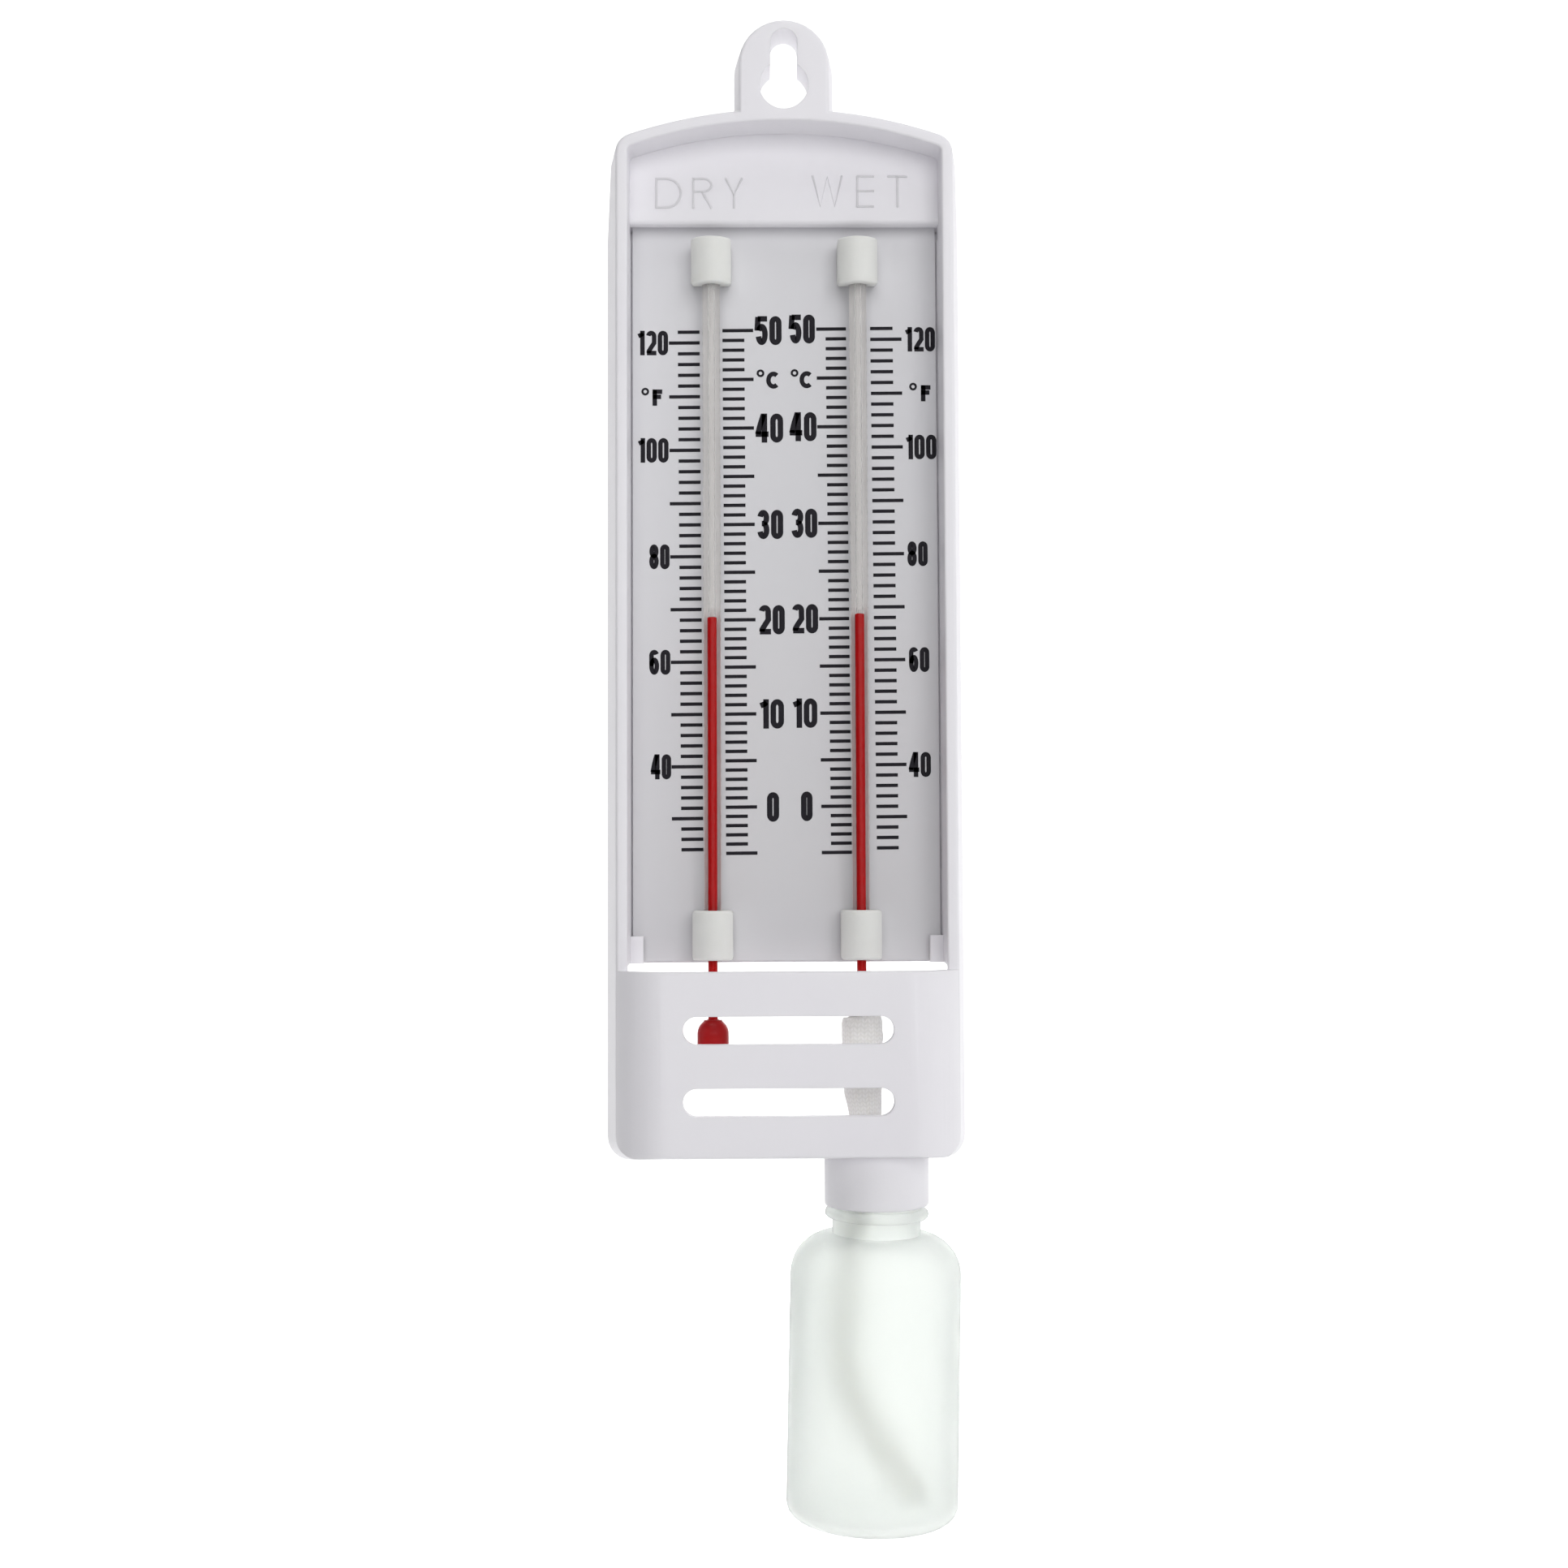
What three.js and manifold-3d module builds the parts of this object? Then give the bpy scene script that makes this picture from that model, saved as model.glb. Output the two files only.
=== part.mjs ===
// Wall-hung wet and dry bulb hygrometer, in millimetres, +Z up, front facing -Y.
// The wall is the plane y = 0. The origin is where the hook or screw that carries the
// instrument leaves the wall, so the top of the hanging slot lies just above it.
// "depth" below always means the distance forward of the wall, so y = -depth.
import * as THREE from 'three';
import { mergeVertices } from 'three/addons/utils/BufferGeometryUtils.js';
import Module from 'manifold-3d';

const wasm = await Module();
wasm.setup();

// Case: one moulding that tapers towards the front
const wall = 2;
const draftSlopeShare = 0.1415;
const innerDraftSlopeShare = 0.0175;
const rimDepth = 20.5;
const rimHalfWidth = 29.4;
const rimEdgeRadius = 0.5;
const rimInnerEdgeRadius = 0.35;
const archRadius = 84.5;
const shoulderRadius = 3.4;
const recessCornerRadius = 1.1;
const bevelHeight = 17.65;

// Hanging tab with its keyhole
const tabHalfWidth = 7.85;
const tabCentreDrop = 3.9;
const tabThickness = 6.6;
const keySlotHalfWidth = 2.37;
const keyHoleRadius = 4.25;
const keyHoleDrop = 7.6;

// Header panel that carries the two words
const headerHeight = 18.75;
const headerRecess = 5.1;
const headerLean = 1.4;
const headerEdgeRadius = 0.8;

// Scale plate, tucked up behind the header panel
const plateThickness = 0.8;
const plateSideGap = 0.3;
const plateTuck = 2.6;
const plateTuckGap = 1.4;
const plateBackGap = 0.2;
const plateEndGap = 0.3;
const plateCornerRadius = 0.8;

// Bulb guard
const guardTopDrop = 161.8;
const guardHeight = 31.15;
const guardStandOut = 6;
const guardCornerRadius = 4.2;
const guardInnerCornerRadius = 2.4;
const guardCheekWidth = 9.5;
const guardEdgeRadius = 0.7;
const guardEmbed = 1.5;
const slotLength = 35.5;
const slotHeight = 4.7;
const upperSlotBelowTop = 9.8;
const slotPitch = 12;

// Lower end of the back panel, just above the guard, with its two lugs
const panelGuardGap = 1;
const panelEndRadius = 0.9;
const lugHeight = 4.7;
const lugWidth = 2.4;
const lugThickness = 2.2;
const lugGap = 0.3;

// Thermometers
const tubeSpacing = 25.8;
const tubeStandOff = 3.75;
const tubeRadius = 1.55;
const boreRadius = 0.5;
const bulbNeckBelowGuardTop = 8.1;
const bulbShoulder = 1.5;
const bulbRadius = 2.75;
const bulbLength = 10.7;
const glassThickness = 0.38;
const spiritGap = 0.1;
const drySpiritTopDrop = 100.6;
const wetSpiritTopDrop = 100.05;

// Soft sleeves that hold the tubes, round in front and flat towards the plate
const sleeveHalfWidth = 3.5;
const sleeveFrontSag = 1.88;
const sleeveFrontReach = 2.75;
const sleeveEdgeRadius = 0.5;
const sleeveGap = 0.15;
const sleeveSeatGap = 0.3;
const capBelowHeader = 2;
const capHeight = 8.7;
const capRoof = 1.6;
const sleeveHeight = 8.6;
const sleeveAbovePanelEnd = 0.55;
const footRadius = 1.9;
const footGap = 0.3;
const footHeadRadius = 2.8;
const footHeadThickness = 1.2;

// Wick, with the thread that ties it above the wet bulb
const wickThickness = 0.45;
const wickGap = 0.25;
const wickNeckThickness = 0.3;
const wickNeckLength = 2.3;
const wickGatherLength = 7.2;
const wickWaistRadius = 3;
const wickTailRadius = 1.55;
const threadRadius = 0.28;
const threadAboveNeck = 1;

// Collar under the guard, and the bottle whose neck pushes into it
const collarOffset = 2.35;
const collarWall = 1.15;
const collarLength = 9.35;
const collarEdgeRadius = 0.35;
const neckRadius = 7.6;
const neckGap = 0.25;
const wickHoleLip = 1.7;
const bottleLeanDegrees = 1.3;
const beadReach = 1.35;
const beadHeight = 1.8;
const beadGap = 0.45;
const neckBelowBead = 2.6;
const bottleRadius = 14.7;
const bottleHeight = 52.6;
const shoulderFlat = 0.1;
const baseCornerRadius = 2.2;
const baseDishDepth = 0.9;
const bottleWall = 0.9;
const mouthGap = 0.4;

// One overrun serves every cut
const overrun = 4;
const cornerSteps = 6;
const archSteps = 12;
const tabSteps = 18;
const roundSteps = 40;
const filletSteps = 3;

// Sizes and places that follow from those above
const archTopDrop = keyHoleDrop + keyHoleRadius;
const headerBottomDrop = archTopDrop + headerHeight;
const panelBottomDrop = guardTopDrop - panelGuardGap;
const guardBottomDrop = guardTopDrop + guardHeight;
const guardDepth = rimDepth + guardStandOut;
const plateFrontDepth = rimDepth - headerRecess - wall - plateTuckGap;
const panelFrontDepth = plateFrontDepth - plateThickness - plateBackGap;
const panelBackDepth = panelFrontDepth - wall;
const tubeDepth = plateFrontDepth + tubeStandOff;
const tabBackDepth = rimDepth - tabThickness;
const cheekDepth = rimDepth - rimEdgeRadius;
const floorDepth = guardDepth - wall;

const capTopDrop = headerBottomDrop + capBelowHeader;
const tubeTopDrop = capTopDrop + capRoof;
const sleeveTopDrop = panelBottomDrop - sleeveAbovePanelEnd - sleeveHeight;
const sleeveFrontRadius = (sleeveHalfWidth ** 2 + sleeveFrontSag ** 2) / (2 * sleeveFrontSag);
const bulbNeckDrop = guardTopDrop + bulbNeckBelowGuardTop;
const bulbBottomDrop = bulbNeckDrop + bulbLength;
const wickNeckRadius = tubeRadius + wickGap + wickNeckThickness;

const collarX = tubeSpacing / 2 + collarOffset;
const collarRadius = neckRadius + neckGap + collarWall;
const collarBottomDrop = guardBottomDrop + collarLength;
const neckEndDrop = collarBottomDrop + beadGap + beadHeight + neckBelowBead;
const shoulderRoundRadius = bottleRadius - neckRadius - shoulderFlat;

const widening = (depth) => (rimDepth - depth) * draftSlopeShare;
const outerHalfWidth = (depth) => rimHalfWidth + widening(depth);
const innerHalfWidth = (depth) => rimHalfWidth - wall - (rimDepth - depth) * innerDraftSlopeShare;
const outerFloor = (depth) => -guardBottomDrop - (guardDepth - depth) * draftSlopeShare;
const innerFloor = (depth) => outerFloor(depth) + wall;
const seatZ = innerFloor(tubeDepth - neckRadius - neckGap) - wall;

const plastic = { color: 0xdedbe0, roughness: 0.42, metalness: 0 };

// Solids and meshes

function toSolid(geometry) {
  const bare = geometry.index ? geometry.toNonIndexed() : geometry.clone();
  bare.deleteAttribute('normal');
  bare.deleteAttribute('uv');
  const merged = mergeVertices(bare);
  return new wasm.Manifold(new wasm.Mesh({
    numProp: merged.attributes.position.itemSize,
    vertProperties: new Float32Array(merged.attributes.position.array),
    triVerts: new Uint32Array(merged.index.array),
  }));
}

function toGeometry(solid) {
  const mesh = solid.getMesh();
  const geometry = new THREE.BufferGeometry();
  geometry.setAttribute('position', new THREE.BufferAttribute(mesh.vertProperties, mesh.numProp));
  geometry.setIndex(new THREE.BufferAttribute(mesh.triVerts, 1));
  geometry.computeVertexNormals();
  return geometry;
}

function makeMesh(name, geometry, look) {
  const mesh = new THREE.Mesh(geometry, new THREE.MeshStandardMaterial(look));
  mesh.name = name;
  return mesh;
}

function shapeFrom(points) {
  return new THREE.Shape(points.map(([a, b]) => new THREE.Vector2(a, b)));
}

// A shape drawn in x and z, swept from one depth to another
function frontPrism(shape, fromDepth, toDepth) {
  const geometry = new THREE.ExtrudeGeometry(shape, {
    depth: toDepth - fromDepth, bevelEnabled: false, curveSegments: roundSteps / 2,
  });
  geometry.translate(0, 0, fromDepth);
  geometry.rotateX(Math.PI / 2);
  return toSolid(geometry);
}

// A profile drawn in depth and z, swept across the width
function sidePrism(points, halfWidth) {
  const geometry = new THREE.ExtrudeGeometry(shapeFrom(points), { depth: 2 * halfWidth, bevelEnabled: false });
  geometry.translate(0, 0, -halfWidth);
  geometry.applyMatrix4(new THREE.Matrix4().makeBasis(
    new THREE.Vector3(0, -1, 0), new THREE.Vector3(0, 0, 1), new THREE.Vector3(-1, 0, 0)));
  return toSolid(geometry);
}

// A plan drawn in x and depth, swept between two heights
function planPrism(points, fromZ, toZ) {
  const geometry = new THREE.ExtrudeGeometry(shapeFrom(points), { depth: toZ - fromZ, bevelEnabled: false });
  geometry.translate(0, 0, -toZ);
  geometry.applyMatrix4(new THREE.Matrix4().makeBasis(
    new THREE.Vector3(1, 0, 0), new THREE.Vector3(0, -1, 0), new THREE.Vector3(0, 0, -1)));
  return toSolid(geometry);
}

// How a ring's points and its level become places: outlines seen from the front, and plans
const frontPlace = (depth, x, z) => [x, -depth, z];
const planPlace = (drop, x, depth) => [x, -depth, -drop];

// A skin through rings of points, each ring at its own level, closed at both ends
function loft(rings, place = frontPlace) {
  const count = rings[0].points.length;
  const positions = [];
  for (const { level, points } of rings) {
    for (const [a, b] of points) positions.push(...place(level, a, b));
  }
  const faces = [];
  for (let ring = 0; ring < rings.length - 1; ring += 1) {
    for (let i = 0; i < count; i += 1) {
      const a = ring * count + i;
      const b = ring * count + (i + 1) % count;
      faces.push(a, b, b + count, a, b + count, a + count);
    }
  }
  const last = (rings.length - 1) * count;
  const capFaces = (points) => THREE.ShapeUtils.triangulateShape(
    points.map(([a, b]) => new THREE.Vector2(a, b)), []);
  for (const [a, b, c] of capFaces(rings[0].points)) faces.push(a, c, b);
  for (const [a, b, c] of capFaces(rings[rings.length - 1].points)) faces.push(last + a, last + b, last + c);
  const geometry = new THREE.BufferGeometry();
  geometry.setAttribute('position', new THREE.Float32BufferAttribute(positions, 3));
  geometry.setIndex(faces);
  return toSolid(geometry);
}

function revolve(profile, steps = roundSteps) {
  const geometry = new THREE.LatheGeometry(profile.map(([r, z]) => new THREE.Vector2(r, z)), steps);
  geometry.rotateX(Math.PI / 2);
  return geometry;
}

// A bar that runs forward from one depth to another
function bar(radius, x, z, fromDepth, toDepth) {
  const geometry = new THREE.CylinderGeometry(radius, radius, toDepth - fromDepth, roundSteps / 2);
  geometry.translate(x, -(fromDepth + toDepth) / 2, z);
  return toSolid(geometry);
}

function arc(cx, cz, radius, from, to, steps) {
  const points = [];
  for (let i = 0; i <= steps; i += 1) {
    const angle = from + (to - from) * i / steps;
    points.push([cx + radius * Math.cos(angle), cz + radius * Math.sin(angle)]);
  }
  return points;
}

// A dome's profile from its foot up to the neck that it closes in to
function dome(footRadius, neckRadius, footZ, height) {
  const points = [];
  for (let i = 0; i <= cornerSteps; i += 1) {
    const angle = (Math.PI / 2) * i / cornerSteps;
    points.push([neckRadius + (footRadius - neckRadius) * Math.cos(angle), footZ + height * Math.sin(angle)]);
  }
  return points;
}

// Outlines seen from the front

const mirrored = (points) => points.map(([x, z]) => [-x, z]).reverse();

// Right half of an arched top, from the side wall up to a given distance from the middle
function archHalf(halfWidth, radius, corner, centreZ, stopX) {
  const cornerX = halfWidth - corner;
  const cornerZ = centreZ + Math.sqrt((radius - corner) ** 2 - cornerX ** 2);
  const tangent = Math.atan2(cornerZ - centreZ, cornerX);
  const stop = Math.acos(stopX / radius);
  return [
    ...arc(cornerX, cornerZ, corner, 0, tangent, cornerSteps),
    ...arc(0, centreZ, radius, tangent, stop, archSteps).slice(1),
  ];
}

const archCentreZ = -archTopDrop - archRadius;

function caseOutline(depth, inset) {
  const grow = widening(depth) - inset;
  const halfWidth = rimHalfWidth + grow;
  const bottom = outerFloor(depth) + inset;
  const tabHalf = tabHalfWidth + grow;
  const lower = arc(halfWidth - guardCornerRadius, bottom + guardCornerRadius, guardCornerRadius,
    -Math.PI / 2, 0, cornerSteps);
  const top = archHalf(halfWidth, archRadius + grow, shoulderRadius, archCentreZ, tabHalf);
  const tab = arc(0, -tabCentreDrop, tabHalf, 0, Math.PI / 2, tabSteps / 2);
  const right = [...lower, ...top, ...tab];
  return [...right, ...mirrored(right).slice(1)];
}

function openOutline(halfWidth, radius, bottom) {
  const right = [
    [halfWidth, bottom],
    ...archHalf(halfWidth, radius, recessCornerRadius, archCentreZ, 0),
  ];
  return [...right, ...mirrored(right).slice(1)];
}

// Levels and insets of a rounded edge that ends at the given level
function roundedEdge(endLevel, radius) {
  const stations = [];
  for (let i = 0; i <= filletSteps; i += 1) {
    const angle = (Math.PI / 2) * i / filletSteps;
    stations.push({
      level: endLevel - radius + radius * Math.sin(angle),
      inset: radius - radius * Math.cos(angle),
    });
  }
  return stations;
}

// The case

function trayBlock() {
  const stations = [{ level: 0, inset: 0 }, ...roundedEdge(rimDepth, rimEdgeRadius)];
  return loft(stations.map(({ level, inset }) => ({ level, points: caseOutline(level, inset) })));
}

// Plan of the guard: flat in the middle, each cheek an arc that ends at the rim's edge line
function guardPlan(inset, backDepth, backHalfWidth) {
  const half = outerHalfWidth(cheekDepth);
  const rise = guardDepth - cheekDepth;
  const sweep = 2 * Math.atan2(rise, guardCheekWidth);
  const radius = guardCheekWidth / Math.sin(sweep);
  const cheek = arc(half - guardCheekWidth, guardDepth - radius, radius - inset,
    Math.PI / 2 - sweep, Math.PI / 2, 2 * cornerSteps);
  const right = [[backHalfWidth, backDepth], ...cheek];
  return [...right, ...mirrored(right)];
}

function guardFront() {
  const backDepth = cheekDepth - guardEmbed;
  const plan = planPrism(guardPlan(0, backDepth, outerHalfWidth(cheekDepth) - guardEmbed),
    outerFloor(0), -guardTopDrop);
  const top = -guardTopDrop;
  const bottom = -guardBottomDrop;
  const front = guardDepth - guardEdgeRadius;
  const side = sidePrism([
    [backDepth, outerFloor(cheekDepth) + guardEmbed],
    [cheekDepth, outerFloor(cheekDepth)],
    ...arc(front, bottom + guardEdgeRadius, guardEdgeRadius, -Math.PI / 2, 0, filletSteps),
    ...arc(front, top - guardEdgeRadius, guardEdgeRadius, 0, Math.PI / 2, filletSteps),
    [backDepth, top],
  ], outerHalfWidth(0));
  const half = outerHalfWidth(cheekDepth);
  const corners = loft([cheekDepth - guardEmbed, guardDepth].map((depth) => {
    const right = [
      ...arc(half - guardCornerRadius, outerFloor(depth) + guardCornerRadius, guardCornerRadius,
        -Math.PI / 2, 0, cornerSteps),
      [half, top],
    ];
    return { level: depth, points: [...right, ...mirrored(right)] };
  }));
  return plan.intersect(side).intersect(corners);
}

function guardHollow() {
  const depths = [-overrun, cheekDepth, floorDepth];
  const box = loft(depths.map((depth) => {
    const half = outerHalfWidth(Math.min(depth, cheekDepth)) - wall;
    const right = [
      ...arc(half - guardInnerCornerRadius, innerFloor(depth) + guardInnerCornerRadius,
        guardInnerCornerRadius, -Math.PI / 2, 0, cornerSteps),
      ...arc(half - panelEndRadius, -panelBottomDrop - panelEndRadius, panelEndRadius,
        0, Math.PI / 2, cornerSteps),
    ];
    return { level: depth, points: [...right, ...mirrored(right)] };
  }));
  const plan = planPrism(guardPlan(wall, -2 * overrun, outerHalfWidth(-2 * overrun)),
    outerFloor(-2 * overrun), overrun - panelBottomDrop);
  return box.intersect(plan);
}

// The header panel leans back towards its top
const headerFrontDepth = (z) => rimDepth - headerRecess - headerLean * (z + headerBottomDrop) / headerHeight;

// The tray in front of the back panel, cut around the header panel
function frontRecess() {
  const stations = [
    { level: panelFrontDepth, halfWidth: innerHalfWidth(panelFrontDepth) },
    ...roundedEdge(rimDepth, rimInnerEdgeRadius).map(({ level, inset }) => ({
      level, halfWidth: innerHalfWidth(level) + inset,
    })),
    { level: rimDepth + overrun, halfWidth: innerHalfWidth(rimDepth) + rimInnerEdgeRadius },
  ];
  const hollow = loft(stations.map(({ level, halfWidth }) => ({
    level,
    points: openOutline(halfWidth, archRadius + halfWidth - rimHalfWidth, -guardTopDrop),
  })));
  const top = overrun - archTopDrop;
  const r = headerEdgeRadius;
  const header = sidePrism([
    [0, -headerBottomDrop],
    ...arc(headerFrontDepth(r - headerBottomDrop) - r, r - headerBottomDrop, r, -Math.PI / 2, 0, filletSteps),
    [headerFrontDepth(top), top],
    [0, top],
  ], outerHalfWidth(0));
  return hollow.subtract(header);
}

// The hollow behind the back panel and the header, open towards the wall
function rearHollow() {
  const depths = [-overrun, rimDepth - headerRecess];
  const hollow = loft(depths.map((depth) => ({
    level: depth,
    points: openOutline(outerHalfWidth(depth) - wall, archRadius + widening(depth) - wall,
      -panelBottomDrop - wall),
  })));
  const top = overrun - archTopDrop;
  const kept = sidePrism([
    [panelBackDepth, outerFloor(0)],
    [guardDepth, outerFloor(0)],
    [guardDepth, top],
    [headerFrontDepth(top) - wall, top],
    [headerFrontDepth(-headerBottomDrop) - wall, -headerBottomDrop],
    [headerFrontDepth(-headerBottomDrop) - wall, -headerBottomDrop - wall],
    [panelFrontDepth, -headerBottomDrop - wall],
    [panelFrontDepth, -headerBottomDrop],
    [panelBackDepth, -headerBottomDrop],
  ], outerHalfWidth(-overrun));
  return hollow.subtract(kept);
}

// Behind the tab and the top of the case the moulding is bevelled back to the wall
function topBevel() {
  const slope = bevelHeight / tabBackDepth;
  const top = tabHalfWidth + overrun;
  return sidePrism([
    [-overrun, -archTopDrop - bevelHeight - overrun * slope],
    [tabBackDepth, -archTopDrop],
    [tabBackDepth, top],
    [-overrun, top],
  ], outerHalfWidth(-overrun));
}

function keyhole() {
  const shape = new THREE.Shape();
  const meet = Math.acos(keySlotHalfWidth / keyHoleRadius);
  shape.absarc(0, 0, keySlotHalfWidth, 0, Math.PI, false);
  shape.absarc(0, -keyHoleDrop, keyHoleRadius, Math.PI - meet, 2 * Math.PI + meet, false);
  return frontPrism(shape, tabBackDepth - overrun, rimDepth + overrun);
}

function guardSlot(drop) {
  const shape = new THREE.Shape();
  const end = (slotLength - slotHeight) / 2;
  shape.absarc(end, -drop, slotHeight / 2, -Math.PI / 2, Math.PI / 2, false);
  shape.absarc(-end, -drop, slotHeight / 2, Math.PI / 2, 3 * Math.PI / 2, false);
  return frontPrism(shape, floorDepth - wall, guardDepth + overrun);
}

// Two lugs that overlap the lower corners of the scale plate
function lug(side) {
  const innerX = rimHalfWidth - wall - lugWidth;
  const outerX = rimHalfWidth - wall / 2;
  const shape = shapeFrom([
    [innerX, -guardTopDrop],
    [outerX, -guardTopDrop],
    [outerX, lugHeight - panelBottomDrop],
    [innerX, lugHeight - panelBottomDrop],
  ].map(([x, z]) => [side * x, z]));
  const back = plateFrontDepth + lugGap;
  return frontPrism(shape, back, back + lugThickness);
}

function collarTube() {
  const outer = revolve([
    [0, -collarBottomDrop],
    ...arc(collarRadius - collarEdgeRadius, collarEdgeRadius - collarBottomDrop, collarEdgeRadius,
      -Math.PI / 2, 0, filletSteps),
    [collarRadius, innerFloor(guardDepth)],
    [0, innerFloor(guardDepth)],
  ]);
  outer.translate(collarX, -tubeDepth, 0);
  return toSolid(outer);
}

function collarBore() {
  const wickHoleRadius = neckRadius - bottleWall - wickHoleLip;
  const bore = revolve([
    [0, -collarBottomDrop - overrun],
    [neckRadius + neckGap, -collarBottomDrop - overrun],
    [neckRadius + neckGap, seatZ],
    [wickHoleRadius, seatZ],
    [wickHoleRadius, seatZ + wall + overrun],
    [0, seatZ + wall + overrun],
  ]);
  bore.translate(collarX, -tubeDepth, 0);
  return toSolid(bore);
}

const tubeX = { dry: -tubeSpacing / 2, wet: tubeSpacing / 2 };
const footDrops = [capTopDrop + capHeight / 2, sleeveTopDrop + sleeveHeight / 2];

function footHoles(fromDepth, toDepth) {
  const holes = [];
  for (const x of Object.values(tubeX)) {
    for (const drop of footDrops) holes.push(bar(footRadius + footGap, x, -drop, fromDepth, toDepth));
  }
  return holes;
}

function buildCase() {
  const block = trayBlock().add(guardFront()).add(collarTube());
  const cuts = [
    frontRecess(),
    rearHollow(),
    topBevel(),
    keyhole(),
    ...footHoles(panelBackDepth - wall / 2, panelFrontDepth + plateBackGap),
  ];
  let body = cuts.reduce((solid, cut) => solid.subtract(cut), block);
  body = body.add(lug(1)).add(lug(-1));
  const lowerCuts = [
    guardHollow(),
    guardSlot(guardTopDrop + upperSlotBelowTop),
    guardSlot(guardTopDrop + upperSlotBelowTop + slotPitch),
    collarBore(),
  ];
  return makeMesh('case', toGeometry(lowerCuts.reduce((solid, cut) => solid.subtract(cut), body)), plastic);
}

// The printed scale plate

function buildPlate() {
  const halfWidth = innerHalfWidth(plateFrontDepth) - plateSideGap;
  const top = plateTuck - headerBottomDrop;
  const bottom = plateEndGap - panelBottomDrop;
  const r = plateCornerRadius;
  const right = [
    ...arc(halfWidth - r, bottom + r, r, -Math.PI / 2, 0, filletSteps),
    ...arc(halfWidth - r, top - r, r, 0, Math.PI / 2, filletSteps),
  ];
  const sheet = frontPrism(shapeFrom([...right, ...mirrored(right)]),
    plateFrontDepth - plateThickness, plateFrontDepth);
  const holes = footHoles(plateFrontDepth - plateThickness - overrun, plateFrontDepth + overrun);
  const plate = holes.reduce((solid, hole) => solid.subtract(hole), sheet);
  return makeMesh('scale_plate', toGeometry(plate), { color: 0xd4d3d9, roughness: 0.5, metalness: 0 });
}

// Thermometers. Each is drawn on its own axis and hung in a group at its place.

const bulbTopZ = -bulbNeckDrop - bulbShoulder;
const bulbEndShare = 0.75;

function buildTube(name) {
  const inner = bulbRadius - glassThickness;
  const round = bulbRadius * bulbEndShare;
  const profile = [
    [0, -bulbBottomDrop],
    ...arc(bulbRadius - round, round - bulbBottomDrop, round, -Math.PI / 2, 0, cornerSteps).slice(1),
    ...dome(bulbRadius, tubeRadius, bulbTopZ, bulbShoulder),
    [tubeRadius, -tubeTopDrop - boreRadius],
    [tubeRadius - boreRadius, -tubeTopDrop],
    [boreRadius, -tubeTopDrop],
    ...dome(inner, boreRadius, bulbTopZ - glassThickness, bulbShoulder).reverse(),
    ...arc(inner - round, round + glassThickness - bulbBottomDrop, round,
      0, -Math.PI / 2, cornerSteps).slice(0, -1),
    [0, glassThickness - bulbBottomDrop],
  ];
  return makeMesh(name, revolve(profile, roundSteps / 2),
    { color: 0xd8dcdc, roughness: 0.06, metalness: 0, transparent: true, opacity: 0.35 });
}

function buildSpirit(name, topDrop) {
  const inset = glassThickness + spiritGap;
  const inner = bulbRadius - inset;
  const round = bulbRadius * bulbEndShare - spiritGap;
  const column = boreRadius - spiritGap;
  const profile = [
    [0, inset - bulbBottomDrop],
    ...arc(inner - round, inset + round - bulbBottomDrop, round, -Math.PI / 2, 0, cornerSteps).slice(1),
    ...dome(inner, column, bulbTopZ - inset, bulbShoulder),
    [column, -topDrop - column],
    [column / 2, -topDrop],
    [0, -topDrop],
  ];
  return makeMesh(name, revolve(profile, roundSteps / 2), { color: 0xb0161c, roughness: 0.2, metalness: 0 });
}

// Plan of a sleeve about its tube's axis: straight sides that meet an arc in front
function sleevePlan(inset) {
  const half = sleeveHalfWidth - inset;
  const radius = sleeveFrontRadius - inset;
  const centre = sleeveFrontReach - sleeveFrontRadius;
  const turn = Math.asin(half / radius);
  const front = arc(0, centre, radius, Math.PI / 2 - turn, Math.PI / 2 + turn, 2 * cornerSteps);
  const back = sleeveSeatGap - tubeStandOff;
  return [[-half, back], [half, back], ...front];
}

// Sleeve round the tube, with a foot that snaps through the plate and the back panel
function buildSleeve(name, topDrop, height, blind) {
  const lower = roundedEdge(topDrop + height, sleeveEdgeRadius);
  const upper = lower.map(({ level, inset }) => ({ level: 2 * topDrop + height - level, inset })).reverse();
  const body = loft([...upper, ...lower].map(({ level, inset }) => ({
    level, points: sleevePlan(inset),
  })), planPlace);
  const boreTop = blind ? sleeveGap - tubeTopDrop : overrun - topDrop;
  const bore = toSolid(revolve([
    [0, -topDrop - height - overrun],
    [tubeRadius + sleeveGap, -topDrop - height - overrun],
    [tubeRadius + sleeveGap, boreTop],
    [0, boreTop],
  ], roundSteps / 2));
  const footZ = -topDrop - height / 2;
  const headFront = panelBackDepth - footGap - tubeDepth;
  const headBack = headFront - footHeadThickness;
  const foot = bar(footRadius, 0, footZ, headBack, 0);
  const head = bar(footHeadRadius, 0, footZ, headBack, headFront);
  return makeMesh(name, toGeometry(body.add(foot).add(head).subtract(bore)),
    { color: 0xd9dad6, roughness: 0.6, metalness: 0 });
}

function buildThermometer(side, topDrop) {
  const group = new THREE.Group();
  group.position.set(tubeX[side], -tubeDepth, 0);
  group.add(
    buildTube(`${side}_tube`),
    buildSpirit(`${side}_spirit`, topDrop),
    buildSleeve(`${side}_top_cap`, capTopDrop, capHeight, true),
    buildSleeve(`${side}_lower_sleeve`, sleeveTopDrop, sleeveHeight, false),
  );
  return group;
}

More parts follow.
